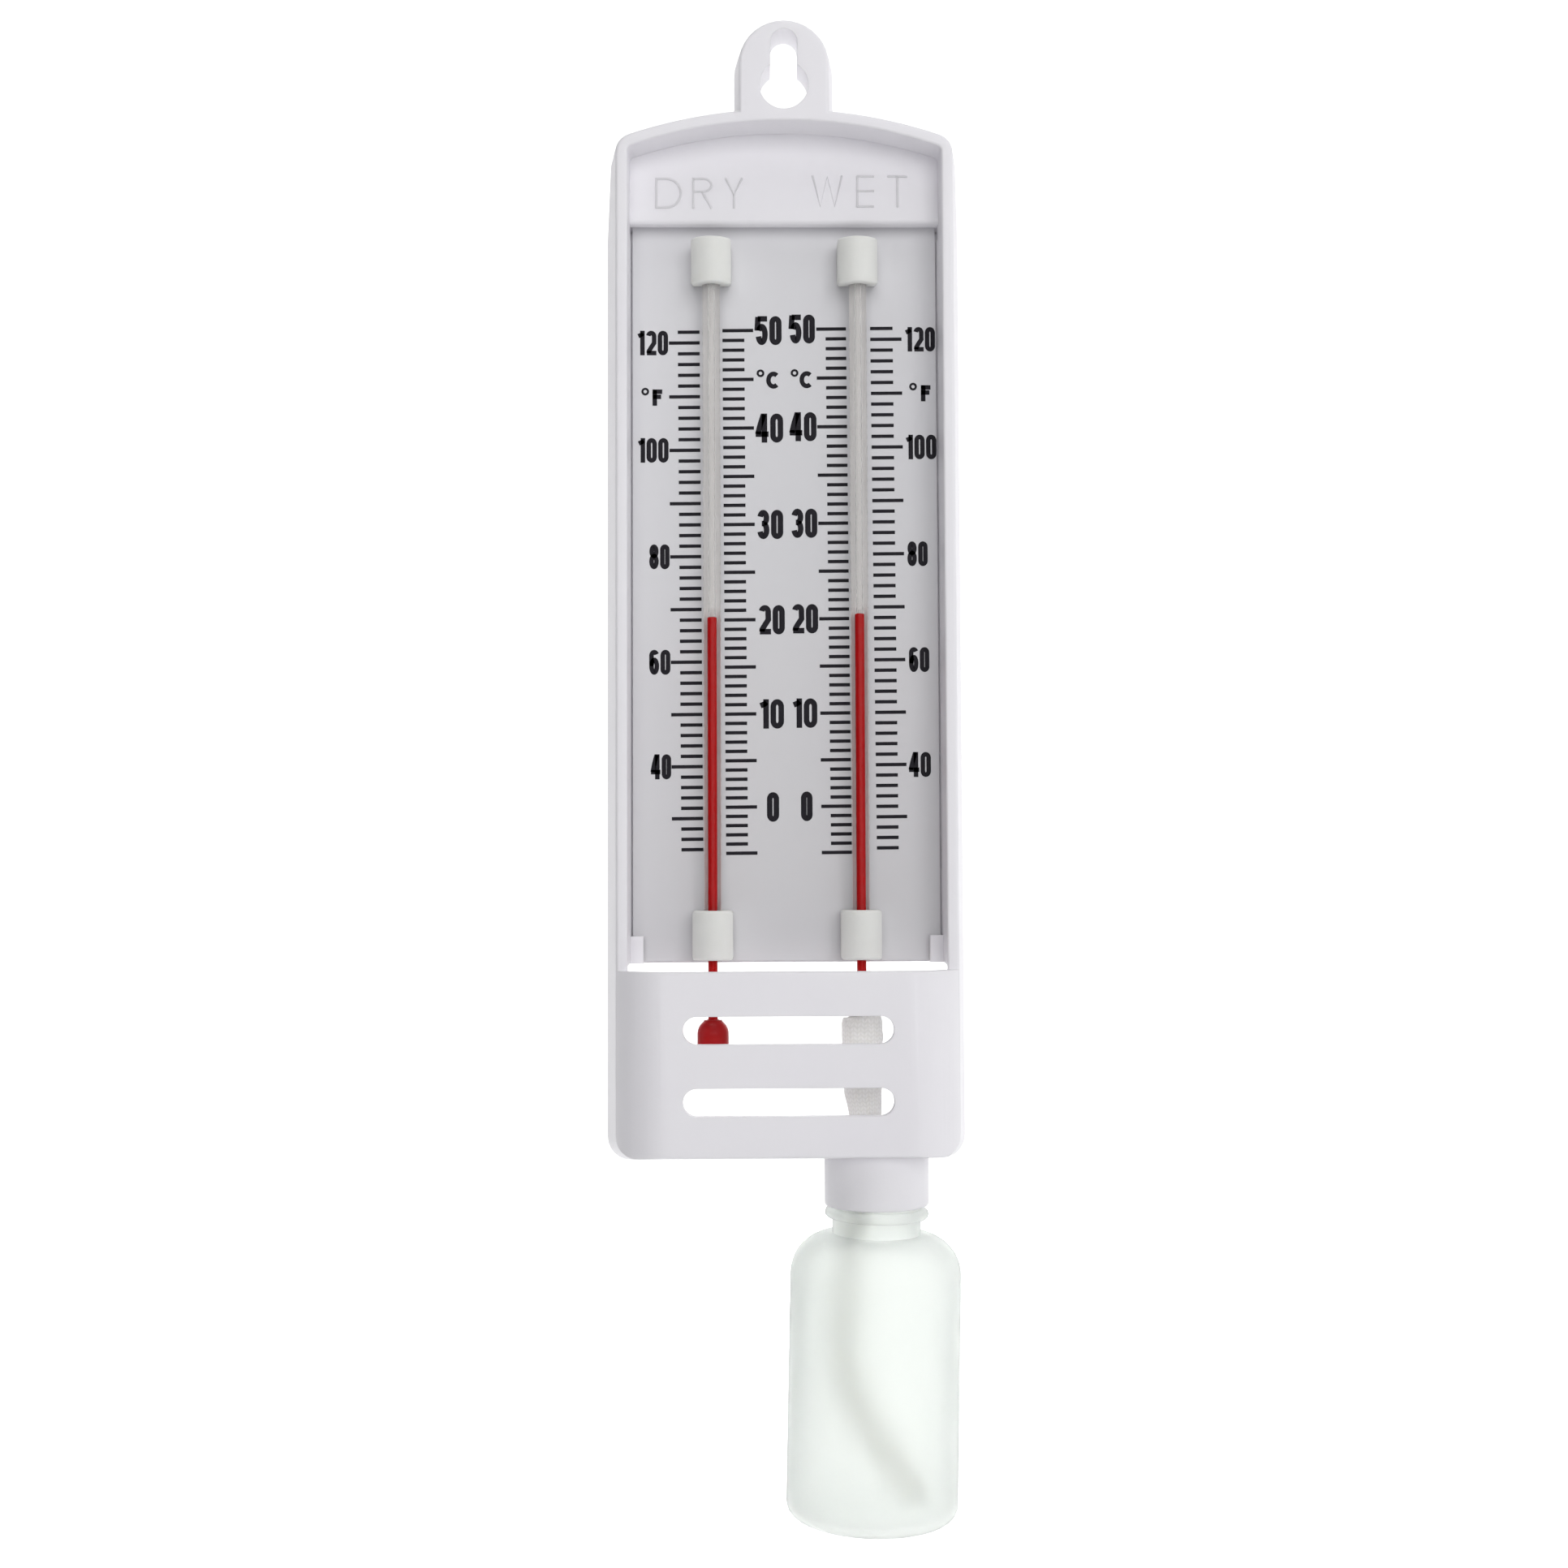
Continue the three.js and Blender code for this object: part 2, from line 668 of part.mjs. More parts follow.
// The wick's tail leans on the left of the bottle's neck, then swings right along the floor.
// Each row gives shares: across and down, or across, forward and down.
const guardRouteShares = [[0, 0.35], [0.2, 0.66]];
const neckRouteShares = [[-0.05, 0], [-0.34, 0.49], [-0.745, 0.985], [-0.98, 1.43], [-1.06, 2.02]];
const bottleRouteShares = [
  [-0.428, 0.02, 0.334], [-0.428, 0.04, 0.432], [-0.384, 0.07, 0.53], [-0.116, 0.14, 0.709],
  [0.138, 0.22, 0.815], [0.417, 0.32, 0.915], [0.58, 0.39, 0.952],
];

function wickRoute() {
  const mouthZ = seatZ - mouthGap;
  const floorZ = baseDishDepth + bottleWall - collarBottomDrop - bottleHeight;
  const reach = neckRadius - bottleWall - wickTailRadius - wickGap;
  const inside = bottleRadius - bottleWall;
  const down = (from, to, share) => from + (to - from) * share;
  const rows = [
    ...guardRouteShares.map(([across, share]) => [
      collarOffset * across, 0, down(-bulbBottomDrop, mouthZ, share)]),
    ...neckRouteShares.map(([across, share]) => [
      collarOffset + reach * across, 0, down(mouthZ, -neckEndDrop, share)]),
    ...bottleRouteShares.map(([across, forward, share]) => [
      collarOffset + inside * across, -inside * forward, down(-neckEndDrop, floorZ, share)]),
  ];
  return new THREE.CatmullRomCurve3(rows.map(([x, y, z]) => new THREE.Vector3(x, y, z)));
}

// The wick: a sock over the wet bulb that narrows into a tail
function buildWick() {
  const inner = bulbRadius + wickGap;
  const outer = inner + wickThickness;
  const mouth = tubeRadius + wickGap;
  const topZ = wickNeckLength - bulbNeckDrop;
  const cavityEnd = -bulbBottomDrop - wickGap;
  const waist = wickWaistRadius;
  const sock = toSolid(revolve([
    [0, cavityEnd - wickGatherLength],
    [wickTailRadius, cavityEnd - wickGatherLength],
    [waist, cavityEnd - wickGatherLength * 0.75],
    [waist, cavityEnd - wickGatherLength * 0.2],
    [outer, cavityEnd + bulbRadius / 2],
    ...dome(outer, wickNeckRadius, bulbTopZ + wickGap, bulbShoulder + wickNeckThickness),
    [wickNeckRadius, topZ],
    [mouth, topZ],
    ...dome(inner, mouth, bulbTopZ + wickGap, bulbShoulder).reverse(),
    [inner, cavityEnd + wickThickness],
    [inner - wickThickness, cavityEnd],
    [0, cavityEnd],
  ], roundSteps / 2));
  const section = new THREE.Shape();
  section.absarc(0, 0, wickTailRadius, 0, 2 * Math.PI, false);
  const tail = new THREE.ExtrudeGeometry(section, {
    steps: roundSteps, curveSegments: cornerSteps, extrudePath: wickRoute(), bevelEnabled: false,
  });
  const mesh = makeMesh('wick', toGeometry(sock.add(toSolid(tail))),
    { color: 0xdcdad0, roughness: 0.95, metalness: 0 });
  mesh.position.set(tubeX.wet, -tubeDepth, 0);
  return mesh;
}

// Two turns of thread that lie against each other
function buildWickTie() {
  const lapShare = 0.9;
  const lap = threadRadius * lapShare;
  const meet = Math.asin(lapShare);
  const middle = wickNeckRadius + wickGap / 2 + threadRadius;
  const profile = [
    ...arc(middle, lap, threadRadius, -meet, Math.PI + meet, cornerSteps),
    ...arc(middle, -lap, threadRadius, Math.PI - meet, 2 * Math.PI + meet, cornerSteps).slice(1, -1),
  ];
  const mesh = makeMesh('wick_tie', revolve([...profile, profile[0]], roundSteps / 2),
    { color: 0xe6e4dc, roughness: 0.9, metalness: 0 });
  mesh.position.set(tubeX.wet, -tubeDepth, threadAboveNeck - bulbNeckDrop);
  return mesh;
}

// The bottle, drawn on its own axis with zero height at the lower edge of the collar
function buildBottle() {
  const beadTop = -beadGap;
  const beadBottom = beadTop - beadHeight;
  const shoulderTop = beadBottom - neckBelowBead;
  const base = -bottleHeight;
  const mouth = seatZ + collarBottomDrop - mouthGap;
  const s = shoulderRoundRadius;
  const b = baseCornerRadius;
  const beadRound = beadHeight / 2;
  const innerNeck = neckRadius - bottleWall;
  const innerBase = base + baseDishDepth + bottleWall;
  const outside = [
    [0, base + baseDishDepth],
    [bottleRadius / 2, base + baseDishDepth * 0.8],
    [bottleRadius - b * 1.6, base + baseDishDepth * 0.1],
    ...arc(bottleRadius - b, base + b, b, -Math.PI / 2, 0, cornerSteps),
    ...arc(bottleRadius - s, shoulderTop - s, s, 0, Math.PI / 2, 2 * cornerSteps),
    [neckRadius, shoulderTop],
    [neckRadius, beadBottom],
    ...arc(neckRadius + beadReach - beadRound, beadTop - beadRound, beadRound,
      -Math.PI / 2, Math.PI / 2, cornerSteps),
    [neckRadius, beadTop],
    [neckRadius, mouth - bottleWall / 2],
    [neckRadius - bottleWall / 3, mouth],
  ];
  const inside = [
    [innerNeck, mouth],
    [innerNeck, shoulderTop - bottleWall],
    ...arc(bottleRadius - s, shoulderTop - s, s - bottleWall, Math.PI / 2, 0, cornerSteps),
    ...arc(bottleRadius - b, innerBase + b - bottleWall, b - bottleWall, 0, -Math.PI / 2, filletSteps),
    [0, innerBase],
  ];
  const mesh = makeMesh('bottle', revolve([...outside, ...inside]),
    { color: 0xeef4ee, roughness: 0.35, metalness: 0, transparent: true, opacity: 0.55 });
  mesh.position.set(collarX, -tubeDepth, -collarBottomDrop);
  mesh.rotation.y = THREE.MathUtils.degToRad(bottleLeanDegrees);
  return mesh;
}

const hygrometer = new THREE.Group();
hygrometer.add(
  buildCase(),
  buildPlate(),
  buildThermometer('dry', drySpiritTopDrop),
  buildThermometer('wet', wetSpiritTopDrop),
  buildWick(),
  buildWickTie(),
  buildBottle(),
);

export default hygrometer;
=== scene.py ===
import math

import bpy
from mathutils import Matrix, Vector


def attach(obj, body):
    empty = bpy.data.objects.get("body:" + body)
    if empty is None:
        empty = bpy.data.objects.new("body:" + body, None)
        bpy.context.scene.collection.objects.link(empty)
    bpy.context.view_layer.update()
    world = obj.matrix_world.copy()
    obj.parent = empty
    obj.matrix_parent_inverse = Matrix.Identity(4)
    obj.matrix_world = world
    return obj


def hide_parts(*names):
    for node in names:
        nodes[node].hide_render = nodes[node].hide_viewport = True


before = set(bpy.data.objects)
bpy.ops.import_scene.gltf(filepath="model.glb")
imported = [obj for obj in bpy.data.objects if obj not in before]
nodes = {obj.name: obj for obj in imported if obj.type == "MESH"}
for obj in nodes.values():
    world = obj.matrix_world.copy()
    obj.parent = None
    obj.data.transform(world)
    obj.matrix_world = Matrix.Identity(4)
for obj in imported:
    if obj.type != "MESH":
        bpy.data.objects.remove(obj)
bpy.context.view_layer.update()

MM = 0.001

# Places in millimetres, in the frame of the part: x, depth forward of the wall, z.
PLATE_FRONT = 12.0
TUBE_DEPTH = 15.75
TUBE_X = {"dry": -12.9, "wet": 12.9}
PRINT_LIFT = 0.03
HEADER_BOTTOM_DEPTH, HEADER_TOP_DEPTH = 15.4, 14.0
HEADER_BOTTOM_Z, HEADER_TOP_Z = -30.6, -11.85


# Making meshes

def to_world(points):
    return [(x * MM, -depth * MM, z * MM) for x, depth, z in points]


def new_piece(name, points, faces, material, body="case", slot=None, smooth=True):
    mesh = bpy.data.meshes.new(name)
    mesh.from_pydata(to_world(points), [], faces)
    mesh.validate()
    mesh.polygons.foreach_set("use_smooth", [smooth] * len(mesh.polygons))
    mesh.materials.append(material)
    piece = bpy.data.objects.new(name, mesh)
    bpy.context.scene.collection.objects.link(piece)
    if body:
        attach(piece, body)
    return piece


def skin(rings, close_start=True, close_end=True):
    """Points and faces of a tube through rings of equal count."""
    count = len(rings[0])
    points = [p for ring in rings for p in ring]
    faces = []
    for r in range(len(rings) - 1):
        for i in range(count):
            a, b = r * count + i, r * count + (i + 1) % count
            faces.append((a, b, b + count, a + count))
    if close_start:
        faces.append(tuple(range(count))[::-1])
    if close_end:
        faces.append(tuple(range((len(rings) - 1) * count, len(rings) * count)))
    return points, faces


def lathe(profile, x, depth, steps=64):
    """Turns a closed profile of radius and z about an upright axis."""
    turns = [2 * math.pi * i / steps for i in range(steps)]
    rings = [[(x + r * math.cos(a), depth - r * math.sin(a), z) for a in turns] for r, z in profile]
    return skin(rings, False, False)


def arc(cx, cz, rx, rz, start, end, steps):
    """Points of an elliptic arc, angles in degrees."""
    out = []
    for i in range(steps + 1):
        a = math.radians(start + (end - start) * i / steps)
        out.append((cx + rx * math.cos(a), cz + rz * math.sin(a)))
    return out


# Materials

def material(name, color, roughness, **sockets):
    """A new material. Further inputs of its shader are named with _ for each space."""
    made = bpy.data.materials.new(name)
    made.use_nodes = True
    tree = made.node_tree
    shader = tree.nodes["Principled BSDF"]
    shader.inputs["Base Color"].default_value = (*color, 1)
    shader.inputs["Roughness"].default_value = roughness
    for key, value in sockets.items():
        shader.inputs[key.replace("_", " ")].default_value = value
    return made, tree, shader


def node(tree, kind, **settings):
    """A new node. Inputs are named with in_ before them, and the rest are its properties."""
    made = tree.nodes.new(kind)
    for key, value in settings.items():
        if key.startswith("in_"):
            made.inputs[key[3:].replace("_", " ")].default_value = value
        else:
            setattr(made, key, value)
    return made


def feed(tree, socket, value):
    """Sets an input to a number or a colour, or links it to the output of another node."""
    if isinstance(value, bpy.types.NodeSocket):
        tree.links.new(value, socket)
    elif isinstance(value, tuple):
        socket.default_value = (*value, 1)
    else:
        socket.default_value = value


def mix(tree, share, color_a, color_b, **settings):
    """Colour A where the share is 0 and colour B where it is 1."""
    made = node(tree, "ShaderNodeMix", data_type="RGBA", **settings)
    for index, value in ((0, share), (6, color_a), (7, color_b)):
        feed(tree, made.inputs[index], value)
    return made.outputs[2]


def remap(tree, value, low, high, start=0.0, end=1.0, **settings):
    """Carries a value from the range low to high over to the range start to end."""
    made = node(tree, "ShaderNodeMapRange", **settings)
    for key, limit in {"From Min": low, "From Max": high, "To Min": start, "To Max": end}.items():
        made.inputs[key].default_value = limit
    tree.links.new(value, made.inputs["Value"])
    return made.outputs["Result"]


def own_axis(tree, axis):
    """The x, y or z of each point in the piece's own frame, in metres."""
    place = node(tree, "ShaderNodeTexCoord")
    split = node(tree, "ShaderNodeSeparateXYZ")
    tree.links.new(place.outputs["Object"], split.inputs["Vector"])
    return split.outputs[axis]


def noise(tree, scale, detail, roughness=0.5):
    """Noise that stays fixed to the piece."""
    place = node(tree, "ShaderNodeTexCoord")
    made = node(tree, "ShaderNodeTexNoise", in_Scale=scale, in_Detail=detail, in_Roughness=roughness)
    tree.links.new(place.outputs["Object"], made.inputs["Vector"])
    return made.outputs["Fac"]


def relief(tree, shader, height, strength, distance, bevel=0.0):
    """Fine relief in the shading only, and edges that look rounded by a bevel."""
    bump = node(tree, "ShaderNodeBump", in_Strength=strength, in_Distance=distance)
    tree.links.new(height, bump.inputs["Height"])
    if bevel:
        rounded = node(tree, "ShaderNodeBevel", samples=4, in_Radius=bevel)
        tree.links.new(rounded.outputs["Normal"], bump.inputs["Normal"])
    tree.links.new(bump.outputs["Normal"], shader.inputs["Normal"])


def grain(tree, shader, coarse, fine, lift, color_a, color_b, rough_a, rough_b, bevel=0.0):
    """Colour and gloss that drift slowly over the surface, and a fine moulded grain."""
    tint = mix(tree, noise(tree, coarse, 3.0, 0.55), color_a, color_b)
    tree.links.new(tint, shader.inputs["Base Color"])
    small = noise(tree, fine, 4.0, 0.6)
    tree.links.new(remap(tree, small, 0.3, 0.7, rough_a, rough_b), shader.inputs["Roughness"])
    relief(tree, shader, small, 0.35, lift, bevel)
    return tint


def white_plastic():
    made, tree, shader = material("white_plastic", (0.8, 0.79, 0.82), 0.42, IOR=1.49, Subsurface_Weight=0.25,
                                  Subsurface_Radius=(1.0, 1.0, 1.0), Subsurface_Scale=0.002)
    grain(tree, shader, 38.0, 2600.0, 0.00003, (0.84, 0.825, 0.865), (0.875, 0.865, 0.89), 0.36, 0.5,
          bevel=0.00022)
    return made


def plate_plastic():
    made, tree, shader = material("plate_plastic", (0.78, 0.78, 0.8), 0.5)
    tint = grain(tree, shader, 30.0, 3600.0, 0.00002, (0.715, 0.71, 0.74), (0.745, 0.742, 0.76), 0.42, 0.55)
    # The sheet's colour is a little darker towards its lower end.
    height = remap(tree, own_axis(tree, "Z"), -0.155, -0.045)
    fade = mix(tree, height, (0.91, 0.91, 0.905), (1.0, 1.0, 1.0))
    shade = mix(tree, 1.0, tint, fade, blend_type="MULTIPLY")
    tree.links.new(shade, shader.inputs["Base Color"])
    return made


def print_black():
    made, tree, shader = material("print_black", (0.012, 0.011, 0.015), 0.5, Specular_IOR_Level=0.15)
    grain(tree, shader, 500.0, 6000.0, 0.00001, (0.006, 0.005, 0.009), (0.017, 0.015, 0.021), 0.45, 0.62)
    return made


def sleeve_plastic():
    made, tree, shader = material("sleeve_plastic", (0.8, 0.81, 0.78), 0.6, Subsurface_Weight=0.15,
                                  Subsurface_Radius=(1.0, 0.95, 0.85), Subsurface_Scale=0.001)
    grain(tree, shader, 180.0, 2400.0, 0.00004, (0.77, 0.775, 0.745), (0.83, 0.835, 0.81), 0.5, 0.66,
          bevel=0.0002)
    return made


def glass():
    made, tree, shader = material("glass", (0.985, 0.99, 0.985), 0.02, IOR=1.2)
    # Clear over the column. Above it the white backing makes the stem look milky.
    clear = remap(tree, own_axis(tree, "Z"), -0.1002, -0.0985, 1.0, 0.8)
    tree.links.new(clear, shader.inputs["Transmission Weight"])
    wave = noise(tree, 60.0, 1.0)
    tint = mix(tree, wave, (0.95, 0.94, 0.93), (0.985, 0.975, 0.965))
    tree.links.new(tint, shader.inputs["Base Color"])
    relief(tree, shader, wave, 0.005, 0.0002)
    return made


def red_spirit():
    made, tree, shader = material("red_spirit", (0.6, 0.01, 0.015), 0.3, Specular_IOR_Level=0.12)
    # The bulb holds more spirit than the bore, so it is darker.
    bulb_red = mix(tree, noise(tree, 700.0, 2.0), (0.40, 0.004, 0.006), (0.56, 0.008, 0.011))
    height = remap(tree, own_axis(tree, "Z"), -0.1714, -0.1700)
    tree.links.new(mix(tree, height, bulb_red, (0.52, 0.003, 0.004)), shader.inputs["Base Color"])
    return made


def enamel():
    """The white backing fused into the rear of each stem, so that the red column shows."""
    made, tree, shader = material("enamel", (0.86, 0.845, 0.84), 0.5)
    grain(tree, shader, 120.0, 3000.0, 0.00001, (0.85, 0.835, 0.83), (0.9, 0.885, 0.88), 0.45, 0.6)
    return made


def bottle_plastic():
    made, tree, shader = material("bottle_plastic", (0.95, 0.975, 0.95), 0.6, IOR=1.25,
                                  Transmission_Weight=0.78)
    grain(tree, shader, 45.0, 1500.0, 0.00004, (0.95, 0.97, 0.95), (0.97, 0.985, 0.97), 0.62, 0.74)
    return made


def cotton(name, wales, courses):
    """Knitted cotton: rows of v-shaped loops along the piece's own UV."""
    made, tree, shader = material(name, (0.8, 0.79, 0.74), 0.95, Sheen_Weight=0.35, Sheen_Roughness=0.5,
                                  Subsurface_Weight=0.6, Subsurface_Radius=(1.0, 0.98, 0.9),
                                  Subsurface_Scale=0.0018)
    uv = node(tree, "ShaderNodeUVMap", uv_map="knit")
    split = node(tree, "ShaderNodeSeparateXYZ")
    tree.links.new(uv.outputs["UV"], split.inputs["Vector"])

    def maths(operation, *values):
        """One sum, on numbers or on the outputs of other nodes."""
        made_node = node(tree, "ShaderNodeMath", operation=operation)
        for socket, value in zip(made_node.inputs, values):
            feed(tree, socket, value)
        return made_node.outputs[0]

    wander = noise(tree, 420.0, 2.0)
    across = maths("ADD", maths("MULTIPLY", split.outputs["X"], wales), maths("MULTIPLY", wander, 0.35))
    centred = maths("ABSOLUTE", maths("SUBTRACT", maths("FRACT", across), 0.5))
    slanted = maths("ADD", maths("MULTIPLY", split.outputs["Y"], courses), maths("MULTIPLY", centred, 1.3))
    course = maths("FRACT", maths("ADD", slanted, maths("MULTIPLY", wander, 0.5)))
    loop = maths("SINE", maths("MULTIPLY", course, math.pi))
    rib = maths("SINE", maths("MULTIPLY", maths("MULTIPLY", centred, 2.0), math.pi))
    height = maths("MULTIPLY", loop, maths("POWER", maths("MAXIMUM", rib, 0.02), 0.6))
    height = maths("ADD", height, maths("MULTIPLY", noise(tree, 5200.0, 3.0), 0.35))
    relief(tree, shader, height, 0.45, 0.0001)
    # Painted shade: the knit's hollows are drawn darker and its raised loops lighter, following the relief's
    # height.
    tint = mix(tree, height, (0.80, 0.795, 0.755), (0.93, 0.925, 0.89))
    tree.links.new(tint, shader.inputs["Base Color"])
    return made


def studio_paper(name, glow):
    """Pale matt paper. A backdrop is lit from behind, most in its middle."""
    made, tree, shader = material(name, (0.93, 0.93, 0.93), 0.9, Emission_Color=(1, 1, 1, 1))
    grain(tree, shader, 1.5, 60.0, 0.0002, (0.91, 0.91, 0.91), (0.95, 0.95, 0.95), 0.85, 0.95)
    if glow:
        aside = node(tree, "ShaderNodeMath", operation="ABSOLUTE")
        tree.links.new(own_axis(tree, "X"), aside.inputs[0])
        level = remap(tree, aside.outputs[0], 0.62, 1.0, glow, glow * 0.75, interpolation_type="SMOOTHSTEP")
        tree.links.new(level, shader.inputs["Emission Strength"])
    return made


WHITE = white_plastic()
PLATE = plate_plastic()
BLACK = print_black()
SLEEVE = sleeve_plastic()
GLASS = glass()
ENAMEL = enamel()
SPIRIT = red_spirit()
BOTTLE = bottle_plastic()
WICK = cotton("wick_cotton", 18.0, 1.0)
THREAD = cotton("thread_cotton", 3.0, 1.0)


# Smooth shading for the CAD nodes: faces that meet at a small angle are shaded as one surface.

MERGE_DISTANCE = 0.000002
SMOOTH_ANGLE = 34


def shading_group():
    tree = bpy.data.node_groups.new("smooth_by_angle", "GeometryNodeTree")
    tree.interface.new_socket("Geometry", in_out="INPUT", socket_type="NodeSocketGeometry")
    tree.interface.new_socket("Geometry", in_out="OUTPUT", socket_type="NodeSocketGeometry")
    start, end = tree.nodes.new("NodeGroupInput"), tree.nodes.new("NodeGroupOutput")
    merge = tree.nodes.new("GeometryNodeMergeByDistance")
    merge.inputs["Distance"].default_value = MERGE_DISTANCE
    faces = tree.nodes.new("GeometryNodeSetShadeSmooth")
    edges = tree.nodes.new("GeometryNodeSetShadeSmooth")
    edges.domain = "EDGE"
    edges.inputs["Shade Smooth"].default_value = False
    angle = tree.nodes.new("GeometryNodeInputMeshEdgeAngle")
    sharp = tree.nodes.new("FunctionNodeCompare")
    sharp.operation = "GREATER_THAN"
    sharp.inputs[1].default_value = math.radians(SMOOTH_ANGLE)
    tree.links.new(start.outputs[0], merge.inputs["Geometry"])
    tree.links.new(merge.outputs["Geometry"], faces.inputs["Geometry"])
    tree.links.new(faces.outputs["Geometry"], edges.inputs["Geometry"])
    tree.links.new(angle.outputs["Unsigned Angle"], sharp.inputs[0])
    tree.links.new(sharp.outputs["Result"], edges.inputs["Selection"])
    tree.links.new(edges.outputs["Geometry"], end.inputs[0])
    return tree


SHADING = shading_group()


def dress(name, look):
    piece = nodes[name]
    mesh = piece.data
    if "custom_normal" in mesh.attributes:
        mesh.attributes.remove(mesh.attributes["custom_normal"])
    mesh.materials.clear()
    mesh.materials.append(look)
    rounding = piece.modifiers.new("shading", "NODES")
    rounding.node_group = SHADING
    weighted = piece.modifiers.new("weighted", "WEIGHTED_NORMAL")
    weighted.keep_sharp = True
    weighted.weight = 100


dress("case", WHITE)
dress("scale_plate", PLATE)
dress("bottle", BOTTLE)
for side in TUBE_X:
    dress(f"{side}_lower_sleeve", SLEEVE)


# The soft caps on the upper ends of the tubes: round in front, with a slanting lower end, an open
# mouth for the tube, and a foot that snaps through the plate and the back panel.

CAP_TOP, CAP_END, CAP_EDGE = -33.6, -41.9, 0.5
CAP_HALF, CAP_REACH, CAP_SAG, CAP_BACK = 3.5, 2.75, 1.88, -3.45
CAP_MOUTH, CAP_MOUTH_DEPTH = 1.68, 3.5
# The lower end rises by the slant, from just in front of the tube's axis to the back.
CAP_SLANT, CAP_SLANT_START, CAP_SLANT_LENGTH = 1.0, 1.0, 4.45
FOOT_Z, FOOT_RADIUS, FOOT_ROOT = -36.95, 1.9, 2.0
FOOT_HEAD_RADIUS, FOOT_HEAD_FRONT, FOOT_HEAD_BACK = 2.8, 8.7, 7.5


def cap_plan(inset):
    """Outline about the tube's axis, x and forward: straight sides that meet an arc in front."""
    radius = (CAP_HALF ** 2 + CAP_SAG ** 2) / (2 * CAP_SAG)
    half, centre = CAP_HALF - inset, CAP_REACH - radius
    turn = math.degrees(math.asin(half / (radius - inset)))
    front = arc(0, centre, radius - inset, radius - inset, 90 - turn, 90 + turn, 24)
    corner = front[-1][1]
    down = [(-half, corner + (CAP_BACK - corner) * i / 8) for i in range(1, 9)]
    rear = [(half * s, CAP_BACK) for s in (-0.6, -0.2, 0.2, 0.6)]
    return front + down + rear + [(x * -1, y) for x, y in down[::-1]]


def build_cap(side, x):
    def ring(plan, z, low):
        """A plan of the cap at one height. Where low is 1 it has the whole slant."""
        return [(x + a, TUBE_DEPTH + b,
                 z + low * CAP_SLANT * max(0.0, (CAP_SLANT_START - b) / CAP_SLANT_LENGTH)) for a, b in plan]

    quarter = [math.radians(a) for a in (0, 30, 60, 90)]
    edge = [(CAP_EDGE * (1 - math.sin(a)), CAP_EDGE * (1 - math.cos(a))) for a in quarter]
    levels = [(CAP_TOP - drop, inset, 0) for drop, inset in edge[::-1]]
    levels += [(CAP_TOP + (CAP_END - CAP_TOP) * share, 0, share) for share in (0.25, 0.5, 0.75)]
    levels += [(CAP_END + rise, inset, 1) for rise, inset in edge]
    rings = [ring(cap_plan(inset), z, low) for z, inset, low in levels]
    mouth = []
    for a, b in cap_plan(CAP_EDGE):
        mouth.append((a * CAP_MOUTH / math.hypot(a, b), b * CAP_MOUTH / math.hypot(a, b)))
    mouth_levels = ((CAP_END, 1), (CAP_END + 0.25, 1), (CAP_END + CAP_MOUTH_DEPTH, 0))
    rings += [ring(mouth, z, low) for z, low in mouth_levels]
    points, faces = skin(rings)
    foot_profile = [(FOOT_RADIUS, TUBE_DEPTH - FOOT_ROOT), (FOOT_RADIUS, FOOT_HEAD_FRONT),
                    (FOOT_HEAD_RADIUS - 0.2, FOOT_HEAD_FRONT), (FOOT_HEAD_RADIUS, FOOT_HEAD_FRONT - 0.2),
                    (FOOT_HEAD_RADIUS, FOOT_HEAD_BACK + 0.3), (FOOT_HEAD_RADIUS - 0.3, FOOT_HEAD_BACK)]
    foot_rings = []
    for r, depth in foot_profile:
        foot_rings.append([(x + a, depth, z) for a, z in arc(0, FOOT_Z, r, r, 0, 360, 40)[:-1]])
    foot_points, foot_faces = skin(foot_rings)
    faces += [tuple(i + len(points) for i in face) for face in foot_faces]
    piece = new_piece(f"{side}_cap", points + foot_points, faces, SLEEVE, slot="sleeve_plastic")
    piece.modifiers.new("shading", "NODES").node_group = SHADING
    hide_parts(f"{side}_top_cap")


for side, x in TUBE_X.items():
    build_cap(side, x)


# A rib along the upper edge of the back panel, behind the tucked end of the plate

def build_rib():
    half, back, front, low, high = 28.6, 9.0, 11.0, -31.0, -28.0
    rings = [[(x, back, low), (x, front, low), (x, front, high), (x, back, high)] for x in (-half, half)]
    new_piece("panel_rib", *skin(rings), WHITE, slot="white_plastic", smooth=False)


build_rib()


# Thermometer tubes and spirit, turned finely so that the glass bends light smoothly.

TUBE_TOP, TUBE_RADIUS, BORE_RADIUS = -35.2, 1.55, 0.5
DOME_Z, BULB_END, BULB_RADIUS, BULB_ROUND, GLASS_WALL = -172.95, -180.6, 2.75, 2.0625, 0.15
STEM_FILLET, BORE_FILLET = 0.5, 0.3
# A turned profile ends just beside the axis.
NEAR_AXIS = 0.001
SPIRIT_TOP = {"dry": -100.6, "wet": -100.05}
WETTED = 0.01
# The stem works as a lens, so the column is drawn as wide as it looks.
COLUMN_RADIUS = 0.68
ENAMEL_OUTER, ENAMEL_INNER, ENAMEL_HALF_ANGLE, ENAMEL_END = 1.45, 1.3, 50, -156.0


def bulb(radius, end, stem, fillet):
    """The bulb's outline: a rounded lower corner, then a round dome that runs into the upright stem."""
    corner = arc(radius - BULB_ROUND, end + BULB_ROUND, BULB_ROUND, BULB_ROUND, -90, 0, 14)
    foot = stem + fillet
    lift = math.sqrt((radius + fillet) ** 2 - foot ** 2)
    turn = math.degrees(math.atan2(lift, foot))
    dome = arc(0, DOME_Z, radius, radius, 0, turn, 14)
    return corner + dome + arc(foot, DOME_Z + lift, fillet, fillet, 180 + turn, 180, 6)[1:]


